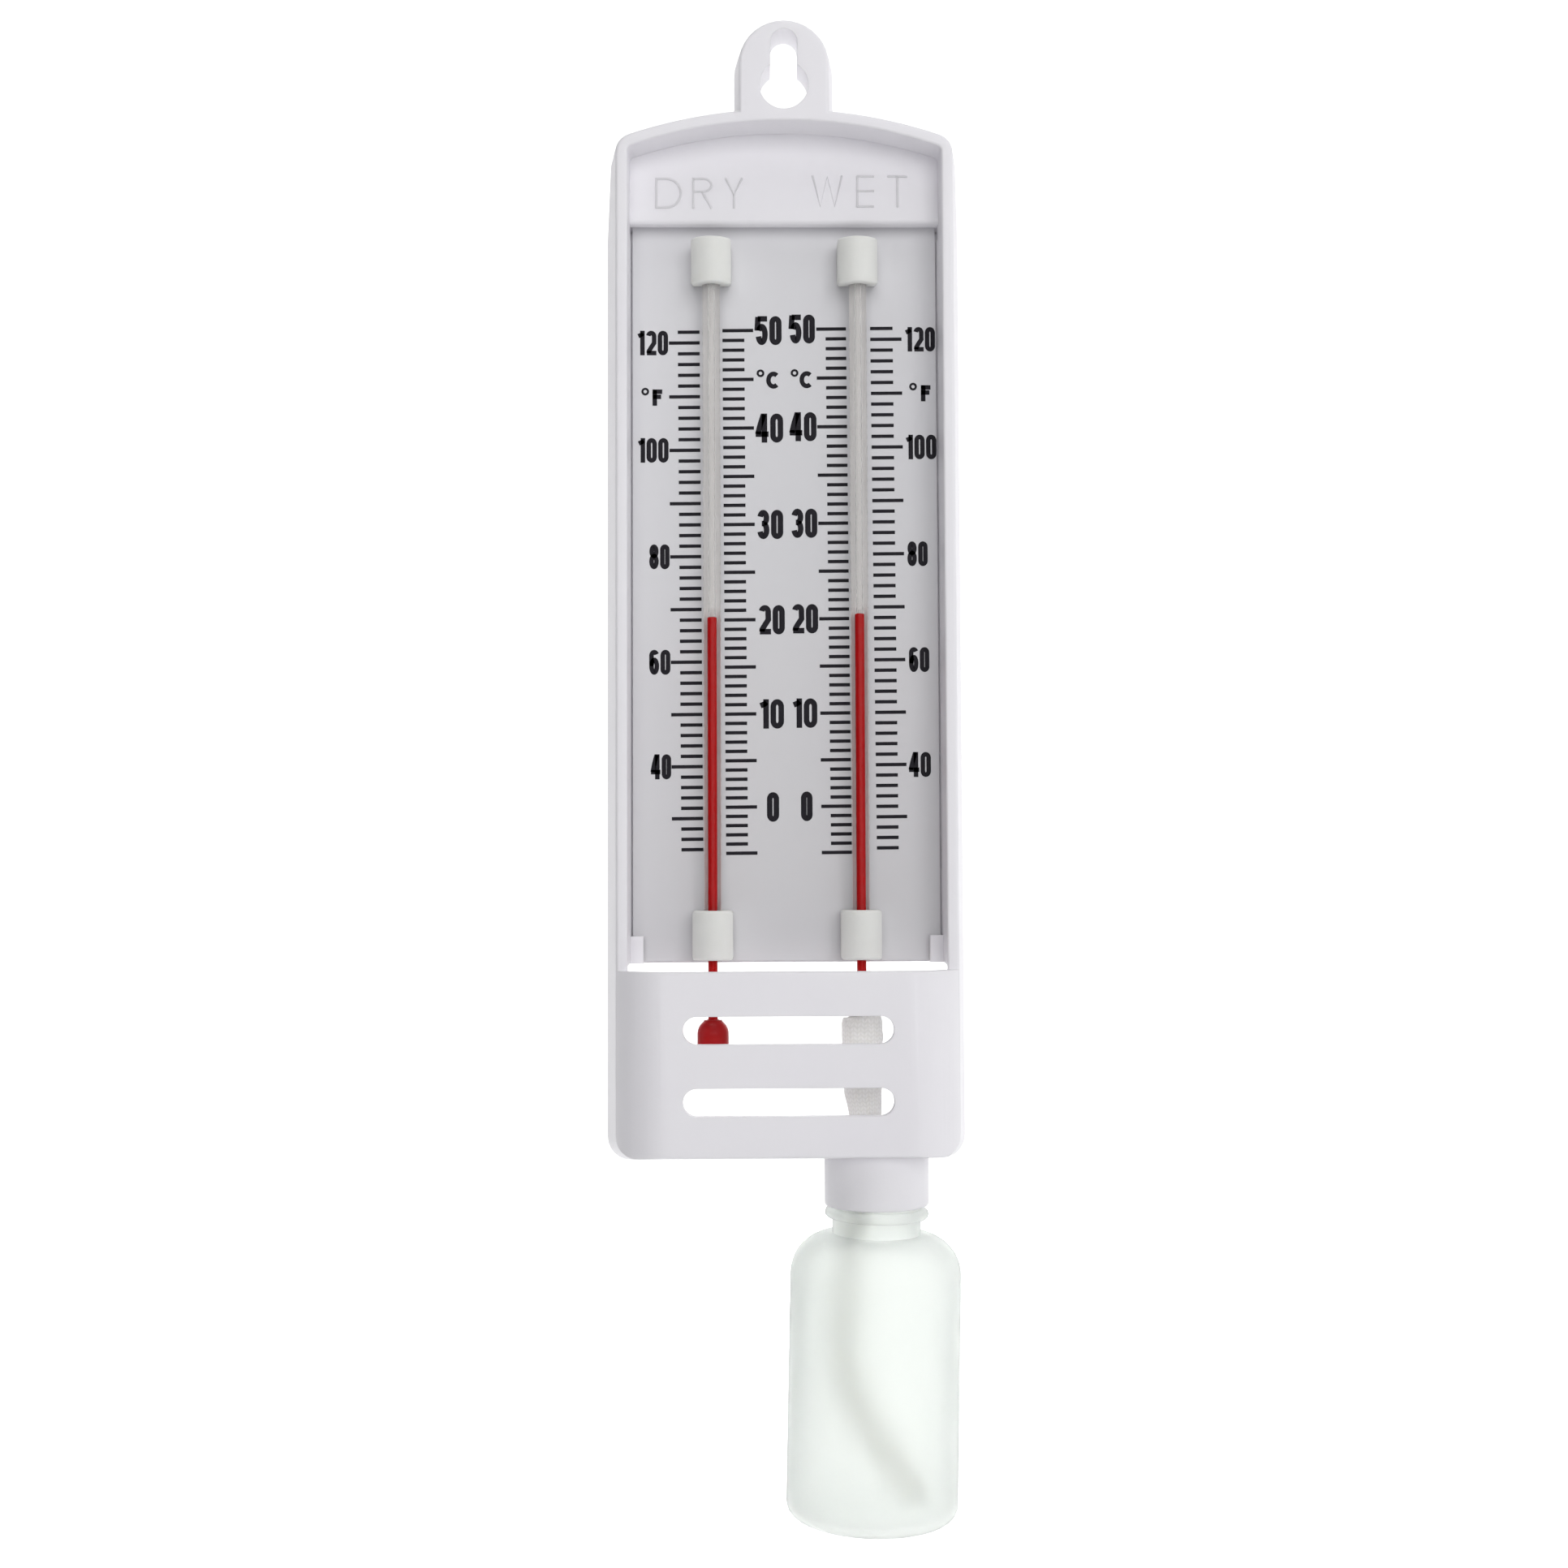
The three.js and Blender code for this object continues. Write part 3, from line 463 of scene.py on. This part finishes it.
def upright(radius, low, high, steps=12):
    """A straight wall with short steps at both ends, so that the corners do not bend its shading."""
    middle_heights = [low + (high - low) * i / steps for i in range(1, steps)]
    return [(radius, z) for z in [low + 0.05, low + 0.4] + middle_heights + [high - 0.4, high - 0.05]]


def build_thermometer(side, x):
    inner, inner_end = BULB_RADIUS - GLASS_WALL, BULB_END + GLASS_WALL
    stem_foot = DOME_Z + BULB_RADIUS
    outside = [(NEAR_AXIS, BULB_END)] + bulb(BULB_RADIUS, BULB_END, TUBE_RADIUS, STEM_FILLET)
    outside += upright(TUBE_RADIUS, stem_foot, TUBE_TOP - BORE_RADIUS)
    outside += arc(TUBE_RADIUS - BORE_RADIUS, TUBE_TOP - BORE_RADIUS, BORE_RADIUS, BORE_RADIUS, 0, 90, 6)
    cavity = bulb(inner, inner_end, BORE_RADIUS, BORE_FILLET)
    cavity += upright(BORE_RADIUS, stem_foot, TUBE_TOP) + [(BORE_RADIUS, TUBE_TOP)]
    outside += cavity[::-1] + [(NEAR_AXIS, inner_end)]
    tube = new_piece(f"{side}_glass", *lathe(outside, x, TUBE_DEPTH), GLASS, slot="glass")
    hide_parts(f"{side}_tube")

    # The spirit overlaps the glass by a hair, so that no air lies between them.
    fill_end, top = inner_end - WETTED, SPIRIT_TOP[side]
    fill = [(NEAR_AXIS, fill_end)] + bulb(inner + WETTED, fill_end, COLUMN_RADIUS, BORE_FILLET)
    fill += upright(COLUMN_RADIUS, stem_foot, top)
    fill += [(COLUMN_RADIUS, top), (COLUMN_RADIUS * 0.75, top + 0.1), (NEAR_AXIS, top + 0.14)]
    spirit = new_piece(f"{side}_red_column", *lathe(fill, x, TUBE_DEPTH, 48), SPIRIT, slot="red_spirit")
    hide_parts(f"{side}_spirit")

    start, end = 90 - ENAMEL_HALF_ANGLE, 90 + ENAMEL_HALF_ANGLE
    section = arc(0, 0, ENAMEL_OUTER, ENAMEL_OUTER, start, end, 16)
    section += arc(0, 0, ENAMEL_INNER, ENAMEL_INNER, end, start, 16)
    heights = (ENAMEL_END, ENAMEL_END + 1, -120, -60, TUBE_TOP - 1.5, TUBE_TOP - 0.5)
    rings = [[(x + a, TUBE_DEPTH - b, z) for a, b in section] for z in heights]
    new_piece(f"{side}_enamel", *skin(rings), ENAMEL, slot="glass")


for side, x in TUBE_X.items():
    build_thermometer(side, x)


# Printed scales. Each row: the top mark and the lowest mark, each with its z, how far the middle
# sags below the straight line between them, the steps of the marks and of the long marks, then the
# x of the marks' ends near the tube, short and long, each at the top and at the bottom.

SCALES = {
    "dry_c": ((50, -48.75), (-5, -141.67), 1.04, 1, 5, (-11.01, -10.6), (-7.11, -6.75), (-5.52, -5.1)),
    "dry_f": ((122, -49.04), (24, -141.01), 0.79, 2, 10, (-15.05, -14.6), (-18.94, -18.45), (-20.53, -20.1)),
    "wet_c": ((50, -48.47), (-5, -141.6), 1.04, 1, 5, (11.0, 11.5), (7.34, 7.84), (5.7, 6.2)),
    "wet_f": ((122, -48.37), (24, -140.83), 0.79, 2, 10, (15.29, 15.9), (19.3, 19.75), (20.88, 21.3)),
}
TICK_THICKNESS = 0.6
# The marks rise a little to the right.
PRINT_SLOPE = 0.008
# Sharp corners of a stroke are cut short below this share.
SHARPEST_CORNER = 0.35


def mark_z(scale, value):
    (top, top_z), (lowest, lowest_z), sag = SCALES[scale][:3]
    share = (top - value) / (top - lowest)
    return top_z + (lowest_z - top_z) * share - sag * 4 * share * (1 - share)


class Sheet:
    """Gathers flat marks that lie on one face."""

    def __init__(self):
        self.points, self.faces = [], []

    def quad(self, corners, depth_of):
        base = len(self.points)
        self.points += [(x, depth_of(z), z) for x, z in corners]
        self.faces.append(tuple(range(base, base + len(corners))))

    def ribbon(self, line, width, depth_of, closed=False, lift=0.0, floor=None):
        """A stroke of even width along a line, flat or raised above its floor."""
        left, right = [], []
        n = len(line)
        for i in range(n):
            before = line[i - 1] if (i or closed) else None
            after = line[(i + 1) % n] if (i < n - 1 or closed) else None
            x, z = line[i]
            ways = []
            for a, b in ((before, (x, z)), ((x, z), after)):
                if a is None or b is None:
                    continue
                dx, dz = b[0] - a[0], b[1] - a[1]
                length = math.hypot(dx, dz) or 1
                ways.append((dx / length, dz / length))
            nx = -sum(w[1] for w in ways) / len(ways)
            nz = sum(w[0] for w in ways) / len(ways)
            size = max(SHARPEST_CORNER, nx * nx + nz * nz)
            nx, nz = nx / size * width / 2, nz / size * width / 2
            left.append((x + nx, z + nz))
            right.append((x - nx, z - nz))
        pairs = list(zip(range(n), range(1, n))) + ([(n - 1, 0)] if closed else [])
        if floor is None:
            for a, b in pairs:
                self.quad([right[a], right[b], left[b], left[a]], depth_of)
            return
        base = len(self.points)
        for i in range(n):
            for x, z, up in ((*right[i], 0), (*right[i], 1), (*left[i], 1), (*left[i], 0)):
                self.points.append((x, depth_of(z) + (lift if up else -floor), z))
        for a, b in pairs:
            for k in range(4):
                j = (k + 1) % 4
                self.faces.append((base + 4 * a + k, base + 4 * b + k, base + 4 * b + j, base + 4 * a + j))
        if not closed:
            self.faces.append((base + 3, base + 2, base + 1, base))
            last = base + 4 * (n - 1)
            self.faces.append((last, last + 1, last + 2, last + 3))


def on_plate(z):
    return PLATE_FRONT + PRINT_LIFT


ticks = Sheet()
for scale, ((top_value, _), (low_value, _), _, step, long_step, near, short, long_) in SCALES.items():
    for value in range(top_value, low_value - 1, -step):
        z = mark_z(scale, value)
        share = (top_value - value) / (top_value - low_value)
        far = long_ if value % long_step == 0 else short
        x0 = near[0] + (near[1] - near[0]) * share
        x1 = far[0] + (far[1] - far[0]) * share
        x0, x1 = min(x0, x1), max(x0, x1)
        half = TICK_THICKNESS / 2
        tilt = PRINT_SLOPE * (x1 - x0) / 2
        ticks.quad([(x0, z - half - tilt), (x1, z - half + tilt),
                    (x1, z + half + tilt), (x0, z + half - tilt)], on_plate)
new_piece("scale_ticks", ticks.points, ticks.faces, BLACK, smooth=False)


# Figures and letters as strokes in a box of width w and height h, for a stroke of width t.

def figure(ch, w, h, t):
    e = t / 2
    c, rx = w / 2, (w - t) / 2
    mid = h * 0.53
    if ch == "0":
        ry = rx * 1.25
        return [(arc(c, h - e - ry, rx, ry, 0, 180, 14) + arc(c, e + ry, rx, ry, 180, 360, 14), True)]
    if ch == "1":
        stem = w - e
        flag = [(stem + e * 0.2, h - e * 1.1), (w * 0.45, h * 0.83), (0, h * 0.78)]
        return [([(stem, 0), (stem, h)], False), (flag, False)]
    if ch == "2":
        ry = rx * 1.2
        line = arc(c, h - e - ry, rx, ry, 168, 0, 12)
        line += [(w - e, h * 0.66), (w * 0.78, h * 0.50), (w * 0.48, h * 0.31), (w * 0.28, h * 0.17),
                 (e * 1.15, e)]
        return [(line, False), ([(e * 0.35, e), (w, e)], False)]
    if ch == "3":
        upper, lower = (h - e - mid) / 2, (mid - e) / 2
        return [(arc(c, mid + upper, rx * 0.96, upper, 165, -78, 16), False),
                (arc(c, e + lower, rx, lower, 78, -165, 16), False),
                ([(c * 0.75, mid), (c * 1.2, mid)], False)]
    if ch == "4":
        stem = w * 0.68
        bar = h * 0.29
        return [([(stem, 0), (stem, h)], False), ([(0, bar), (w, bar)], False),
                ([(stem - e * 0.3, h - e * 0.3), (w * 0.36, h * 0.62), (e * 0.8, bar)], False)]
    if ch == "5":
        ry = (h * 0.64 - e) / 2
        return [([(w * 0.95, h - e), (w * 0.17, h - e)], False),
                ([(w * 0.2, h - e * 0.3), (w * 0.13, h * 0.5)], False),
                (arc(c, e + ry, rx, ry, 152, 0, 10) + arc(c, e + ry, rx, ry, 0, -165, 12)[1:], False)]
    if ch == "6":
        ry = (h * 0.6 - e) / 2
        top = rx * 1.3
        return [(arc(c, e + ry, rx, ry, 0, 360, 22)[:-1], True),
                (arc(c, h - e - top, rx, top, 22, 180, 10) + [(e, e + ry)], False)]
    if ch == "8":
        upper, lower = (h - e - mid) / 2, (mid - e) / 2
        return [(arc(c, mid + upper, rx * 0.94, upper, 0, 360, 20)[:-1], True),
                (arc(c, e + lower, rx, lower, 0, 360, 20)[:-1], True)]
    if ch == "C":
        ry = (h - t) / 2
        return [(arc(c, h / 2, rx, ry, 48, 312, 20), False)]
    if ch == "F":
        return [([(e, 0), (e, h)], False), ([(0, h - e), (w, h - e)], False),
                ([(0, h * 0.55), (w * 0.88, h * 0.55)], False)]
    if ch == "D":
        bow = arc(w * 0.42, h / 2, w * 0.58 - e, h / 2 - e, 90, -90, 14)
        return [([(e, 0), (e, h)], False), ([(e, h - e)] + bow + [(e, e)], False)]
    if ch == "R":
        bow = arc(w * 0.55, h * 0.76, w * 0.45 - e, h * 0.24 - e, 90, -90, 10)
        return [([(e, 0), (e, h)], False), ([(e, h - e)] + bow + [(e, h * 0.52 + e)], False),
                ([(w * 0.5, h * 0.52), (w - e, 0)], False)]
    if ch == "Y":
        return [([(e, h), (c, h * 0.46), (w - e, h)], False), ([(c, 0), (c, h * 0.46)], False)]
    if ch == "W":
        return [([(e, h), (w * 0.27, e), (c, h - e), (w * 0.73, e), (w - e, h)], False)]
    if ch == "E":
        return [([(e, 0), (e, h)], False)] + [([(0, z), (w, z)], False) for z in (e, h * 0.51, h - e)]
    return [([(c, 0), (c, h)], False), ([(0, h - e), (w, h - e)], False)]


# The gap between letters as a share of the stroke, the width of a one as a share of the other
# figures', and how much lower each further stroke of a letter lies, so that they share no face.
LETTER_GAP, ONE_WIDTH, STROKE_DROP = 0.3, 0.62, 0.004


def write(sheet, text, sides, foot, height, stroke, depth_of, lift=0.0, floor=None):
    """Letters that stand on their foot and fill the width between two sides."""
    gap = stroke * LETTER_GAP
    shares = [ONE_WIDTH if ch == "1" else 1.0 for ch in text]
    x, right = sides
    unit = (right - x - gap * (len(text) - 1)) / sum(shares)
    for ch, share in zip(text, shares):
        for order, (line, closed) in enumerate(figure(ch, unit * share, height, stroke)):
            placed = [(x + a, foot + b) for a, b in line]
            sheet.ribbon(placed, stroke, depth_of, closed, lift=lift - STROKE_DROP * order, floor=floor)
        x += unit * share + gap


# The figures of each scale with the x of their two sides, and each scale's height and stroke
FIGURES = {
    "dry_c": ({50: (-5.09, -0.47), 40: (-5.15, -0.26), 30: (-4.93, -0.33), 20: (-4.71, -0.12),
               10: (-4.48, -0.33), 0: (-3.4, -1.26)}, 5.2, 0.98),
    "wet_c": ({50: (0.98, 5.46), 40: (0.9, 5.66), 30: (1.11, 5.71), 20: (1.17, 5.77),
               10: (1.38, 5.54), 0: (2.59, 4.62)}, 5.2, 0.98),
    "dry_f": ({120: (-25.94, -20.66), 100: (-25.88, -20.6), 80: (-24.04, -20.45),
               60: (-24.06, -20.34), 40: (-23.79, -20.23)}, 4.4, 0.8),
    "wet_f": ({120: (21.66, 26.85), 100: (21.65, 26.95), 80: (21.65, 25.25),
               60: (21.8, 25.39), 40: (21.66, 25.53)}, 4.4, 0.8),
}
# Each unit: its letter, the middle of its ring, the letter's two sides, its foot and its top
UNITS = [
    ("C", (-4.25, -56.43), (-3.24, -0.66), -59.2, -56.14),
    ("C", (1.81, -56.38), (2.68, 5.26), -59.12, -56.06),
    ("F", (-24.72, -59.71), (-23.43, -21.7), -62.25, -59.33),
    ("F", (22.88, -58.84), (24.27, 25.98), -61.5, -58.59),
]
UNIT_STROKE, RING_RADIUS, RING_STROKE = 0.8, 0.5, 0.38
figures = Sheet()
for scale, (values, height, stroke) in FIGURES.items():
    for value, sides in values.items():
        write(figures, str(value), sides, mark_z(scale, value) - height / 2, height, stroke, on_plate)
for letter, centre, sides, foot, top in UNITS:
    write(figures, letter, sides, foot, top - foot, UNIT_STROKE, on_plate)
    figures.ribbon(arc(*centre, RING_RADIUS, RING_RADIUS, 0, 360, 16)[:-1], RING_STROKE, on_plate, True)
new_piece("scale_figures", figures.points, figures.faces, BLACK, smooth=False)


# The two words, raised on the leaning header panel. Each letter: its two sides, its foot and its top

WORDS = [
    ("D", (-22.73, -18.06), -27.82, -22.18), ("R", (-16.2, -12.62), -27.81, -22.17),
    ("Y", (-10.52, -7.17), -27.81, -22.16), ("W", (4.93, 10.49), -27.58, -21.71),
    ("E", (12.84, 15.96), -27.57, -21.7), ("T", (18.39, 21.85), -27.57, -21.7),
]
WORD_STROKE, WORD_LIFT, WORD_FLOOR = 0.36, 0.055, 0.1


def on_header(z):
    share = (z - HEADER_BOTTOM_Z) / (HEADER_TOP_Z - HEADER_BOTTOM_Z)
    return HEADER_BOTTOM_DEPTH + (HEADER_TOP_DEPTH - HEADER_BOTTOM_DEPTH) * share


words = Sheet()
for letter, sides, foot, top in WORDS:
    write(words, letter, sides, foot, top - foot, WORD_STROKE, on_header, lift=WORD_LIFT, floor=WORD_FLOOR)
new_piece("header_words", words.points, words.faces, WHITE, slot="white_plastic", smooth=False)


# The wick: a knitted sleeve over the wet bulb, gathered below it, its tail in the bottle

WICK_LINE = [  # x from the tube's axis, forward, z, half width, half thickness
    (0, 0, -168.4, 2.3, 2.3), (0, 0, -168.9, 2.1, 2.1), (0, 0, -169.5, 2.1, 2.1),
    (0.12, 0, -170.15, 3.2, 2.7), (0.05, 0, -171.2, 3.5, 3.2), (0, 0, -172.5, 3.56, 3.42),
    (0, 0, -176.0, 3.54, 3.45), (0, 0, -179.5, 3.5, 3.4), (0.1, 0, -181.5, 3.36, 3.2),
    (0.17, 0, -183.5, 3.2, 2.9), (0.35, 0, -185.5, 2.95, 2.5), (0.47, 0, -187.2, 2.75, 2.2),
    (0.5, 0, -189.0, 2.2, 1.7), (0.8, 0, -191.5, 1.75, 1.4), (2.1, 0, -195.98, 1.75, 1.35),
    (0.684, 0, -201.45, 1.75, 1.35), (-1.25, 0, -206.98, 1.75, 1.35), (-2.4, 0, -211.95, 1.8, 1.35),
    (-2.8, 0, -218.54, 1.9, 1.3), (-3.45, 0.28, -222.5, 2.0, 1.3), (-3.45, 0.55, -227.0, 2.15, 1.3),
    (-2.85, 0.97, -231.5, 2.25, 1.3), (0.75, 1.93, -239.7, 2.3, 1.25), (4.25, 3.04, -244.6, 2.3, 1.2),
    (8.0, 4.4, -249.2, 2.1, 1.15), (9.8, 5.2, -250.6, 1.7, 1.05),
]
WICK_STATIONS, WICK_AROUND = 260, 56
# Where the wide part over the bulb ends, and over what height its folds fade in above that
WIDE_END, FADE_HEIGHT = -186.5, 4.0
# A fold in front and a flat selvedge on the right: angles in degrees, counted from the right
FOLD_ANGLE, HEM_ANGLE = 93, 28
# The relief of the folds is given in millimetres for a sleeve of this radius.
FOLD_RADIUS = 3.4
COURSE_HEIGHT = 0.75
# The mouth turns in over the thread, down to the stem: share of the radius, drop, place in the knit
MOUTH = [(0.80, 2.0, -1.0), (0.80, 0.5, -0.6), (0.86, 0.05, -0.3)]


def between(rows, t):
    """A point of the smooth curve through four rows, between the second and the third."""
    out = []
    for a, b, c, d in zip(*rows):
        square, cube = 2 * a - 5 * b + 4 * c - d, 3 * b - a - 3 * c + d
        out.append(0.5 * (2 * b + (c - a) * t + square * t * t + cube * t ** 3))
    return out


def along(table, count):
    """Even stations on a smooth curve through the rows of a table."""
    fine = []
    for i in range(len(table) - 1):
        rows = [table[max(0, min(len(table) - 1, i + k))] for k in (-1, 0, 1, 2)]
        fine += [between(rows, s / 16) for s in range(16)]
    fine.append(list(table[-1]))
    gone = [0.0]
    for a, b in zip(fine, fine[1:]):
        gone.append(gone[-1] + math.dist(a[:3], b[:3]))
    out, k = [], 0
    for i in range(count):
        goal = gone[-1] * i / (count - 1)
        while k < len(gone) - 2 and gone[k + 1] < goal:
            k += 1
        t = (goal - gone[k]) / max(1e-9, gone[k + 1] - gone[k])
        out.append(([a + (b - a) * t for a, b in zip(fine[k], fine[k + 1])], goal))
    return out, gone[-1]


def bell(t, angle, width):
    """A smooth hump round an angle in degrees, 1 at its top."""
    return math.exp(-((t - math.radians(angle)) / width) ** 2)


def wick_swell(t, z):
    """How much the sleeve swells at an angle and a height."""
    wide = max(0.0, min(1.0, (z - WIDE_END) / FADE_HEIGHT))
    fold = 0.16 * bell(t, FOLD_ANGLE, 0.10) - 0.10 * bell(t, FOLD_ANGLE, 0.35)
    hem = 0.15 * bell(t, HEM_ANGLE, 0.10)
    wrinkle = 0.05 * math.sin(3 * t + 0.9 * z)
    wrinkle += 0.04 * math.sin(7 * t - 1.7 * z + 1.0)
    wrinkle += 0.03 * math.sin(2.6 * z + 4 * t)
    return 1 + (fold + hem) * wide / FOLD_RADIUS + wrinkle / FOLD_RADIUS * (0.35 + 0.65 * wide)


def build_wick():
    stations, length = along(WICK_LINE, WICK_STATIONS)
    around = WICK_AROUND
    rings, marks = [], []
    for i, ((x, forward, z, rx, ry), gone) in enumerate(stations):
        a = stations[max(0, i - 1)][0]
        b = stations[min(len(stations) - 1, i + 1)][0]
        way = Vector((b[0] - a[0], b[1] - a[1], b[2] - a[2])).normalized()
        side = Vector((1, 0, 0)) - way * way.x
        side.normalize()
        front = way.cross(side)
        ring = []
        for j in range(around):
            t = 2 * math.pi * j / around
            swell = wick_swell(t, z)
            across, deep = rx * swell * math.cos(t), ry * swell * math.sin(t)
            p = Vector((x, forward, z)) + side * across - front * deep
            ring.append((TUBE_X["wet"] + p.x, TUBE_DEPTH + p.y, p.z))
        rings.append(ring)
        marks.append(gone)
    mouth = []
    for share, drop, _ in MOUTH:
        mouth.append([(TUBE_X["wet"] + (x - TUBE_X["wet"]) * share, TUBE_DEPTH + (depth - TUBE_DEPTH) * share,
                       z - drop) for x, depth, z in rings[0]])
    marks = [mark for _, _, mark in MOUTH] + marks
    points, faces = skin(mouth + rings, False, True)
    piece = new_piece("wick_sleeve", points, faces, WICK, slot="cotton")
    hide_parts("wick")
    knit = piece.data.uv_layers.new(name="knit")
    for polygon in piece.data.polygons:
        numbers = [piece.data.loops[i].vertex_index for i in polygon.loop_indices]
        columns = [v % around for v in numbers]
        wraps = max(columns) - min(columns) > around / 2
        for i, v, column in zip(polygon.loop_indices, numbers, columns):
            u = (column + around if wraps and column < around / 2 else column) / around
            knit.data[i].uv = (u, marks[v // around] / COURSE_HEIGHT)
    return length


wick_length = build_wick()


# The thread that ties the wick above the bulb: two turns round its neck, of two twisted plies

THREAD_TURNS, THREAD_STEPS, THREAD_AROUND = 2, 96, 10
THREAD_LOOP_RADIUS, THREAD_TOP, THREAD_DROP = 2.42, -169.02, 0.5
THREAD_RADIUS, PLY_RELIEF, TWIST, THREAD_COURSE = 0.25, 0.12, 0.9, 0.3


def build_thread():
    line = []
    for i in range(THREAD_STEPS + 1):
        a = 2 * math.pi * THREAD_TURNS * i / THREAD_STEPS
        line.append((THREAD_LOOP_RADIUS * math.cos(a), THREAD_LOOP_RADIUS * math.sin(a),
                     THREAD_TOP - THREAD_DROP * i / THREAD_STEPS))
    rings = []
    for i, p in enumerate(line):
        a, b = Vector(line[max(0, i - 1)]), Vector(line[min(len(line) - 1, i + 1)])
        way = (b - a).normalized()
        out = Vector((p[0], p[1], 0)).normalized()
        up = way.cross(out).normalized()
        ring = []
        for j in range(THREAD_AROUND):
            t = 2 * math.pi * j / THREAD_AROUND
            r = THREAD_RADIUS * (1 + PLY_RELIEF * math.cos(2 * (t + TWIST * i)))
            q = Vector(p) + out * (r * math.cos(t)) + up * (r * math.sin(t))
            ring.append((TUBE_X["wet"] + q.x, TUBE_DEPTH + q.y, q.z))
        rings.append(ring)
    points, faces = skin(rings)
    piece = new_piece("wick_thread", points, faces, THREAD, slot="cotton")
    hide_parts("wick_tie")
    knit = piece.data.uv_layers.new(name="knit")
    for polygon in piece.data.polygons:
        for i in polygon.loop_indices:
            v = piece.data.loops[i].vertex_index
            knit.data[i].uv = ((v % THREAD_AROUND) / THREAD_AROUND, (v // THREAD_AROUND) * THREAD_COURSE)


build_thread()


# A pale floor, and a backdrop behind the object that curves up from it and glows

STUDIO_HALF_WIDTH, FLOOR_Z, FLOOR_FRONT, FLOOR_BACK = 2600.0, -640.0, 1600.0, -400.0
CURVE_RADIUS, BACKDROP_TOP, BACKDROP_GLOW = 500.0, 1500.0, 0.83


def build_sheet(name, profile, glow):
    points = [(x, depth, z) for depth, z in profile for x in (-STUDIO_HALF_WIDTH, STUDIO_HALF_WIDTH)]
    faces = [(2 * i, 2 * i + 1, 2 * i + 3, 2 * i + 2) for i in range(len(profile) - 1)]
    new_piece(name, points, faces, studio_paper(name, glow), body=None)


build_sheet("studio_floor", [(FLOOR_FRONT, FLOOR_Z), (0.0, FLOOR_Z), (FLOOR_BACK, FLOOR_Z)], 0.0)
bends = [math.radians(a) for a in range(0, 91, 10)]
curve = [(FLOOR_BACK - CURVE_RADIUS * math.sin(a), FLOOR_Z + CURVE_RADIUS * (1 - math.cos(a))) for a in bends]
build_sheet("studio_backdrop", curve + [(FLOOR_BACK - CURVE_RADIUS, BACKDROP_TOP)], BACKDROP_GLOW)


# Light

def area(name, place, target, size, power):
    data = bpy.data.lights.new(name, "AREA")
    data.shape = "RECTANGLE"
    data.size, data.size_y = size
    data.energy = power
    lamp = bpy.data.objects.new(name, data)
    lamp.location = place
    lamp.rotation_mode = "QUATERNION"
    lamp.rotation_quaternion = (Vector(target) - Vector(place)).to_track_quat("-Z", "Y")
    bpy.context.scene.collection.objects.link(lamp)


middle = (0, 0, -0.12)
area("key", (0.6, -0.9, 0.35), middle, (0.8, 0.8), 0.9)
area("front", (0.12, -1.0, 0.18), middle, (1.0, 0.8), 4.95)
area("right", (1.15, -0.25, 0.1), middle, (0.8, 0.8), 1.7)
area("top", (0.0, -0.25, 0.9), middle, (0.8, 0.6), 2.3)


def build_world():
    """A room that is dim in front on the left and below, and light on the right and above."""
    world = bpy.data.worlds.new("studio")
    bpy.context.scene.world = world
    world.use_nodes = True
    tree = world.node_tree
    background = tree.nodes["Background"]
    background.inputs["Color"].default_value = (0.98, 0.985, 1.0, 1)
    place = node(tree, "ShaderNodeTexCoord")
    facing = node(tree, "ShaderNodeVectorMath", operation="DOT_PRODUCT")
    facing.inputs[1].default_value = Vector((-0.66, -0.6, -0.45)).normalized()
    tree.links.new(place.outputs["Generated"], facing.inputs[0])
    level = remap(tree, facing.outputs["Value"], -0.8, 0.9, 0.44, 0.07, interpolation_type="SMOOTHSTEP")
    tree.links.new(level, background.inputs["Strength"])


build_world()
bpy.context.scene.view_settings.view_transform = "Standard"


# Camera at the photograph's place, found from the photograph

CAMERA_PLACE = (-5.5, -356.6, -145.78)
CAMERA_PITCH, CAMERA_YAW, CAMERA_ROLL = 2.7, 0.85, 0.25
CAMERA_LENS, CAMERA_SENSOR = 45.0, 36.0


def build_camera():
    pitch, yaw, roll = (math.radians(a) for a in (CAMERA_PITCH, CAMERA_YAW, CAMERA_ROLL))
    cp, sp, cy, sy = math.cos(pitch), math.sin(pitch), math.cos(yaw), math.sin(yaw)
    forward = Vector((sy * cp, cy * cp, sp))
    right = Vector((cy, -sy, 0))
    up = Vector((-sy * sp, -cy * sp, cp))
    cr, sr = math.cos(roll), math.sin(roll)
    x_axis = right * cr - up * sr
    y_axis = right * sr + up * cr
    data = bpy.data.cameras.new("camera")
    data.sensor_fit = "HORIZONTAL"
    data.sensor_width = CAMERA_SENSOR
    data.lens = CAMERA_LENS
    data.clip_start, data.clip_end = 0.01, 20
    camera = bpy.data.objects.new("camera", data)
    turn = Matrix((x_axis, y_axis, -forward)).transposed()
    place = Matrix.Translation([value * MM for value in CAMERA_PLACE])
    camera.matrix_world = place @ turn.to_4x4()
    bpy.context.scene.collection.objects.link(camera)
    bpy.context.scene.camera = camera


build_camera()

bpy.context.view_layer.update()
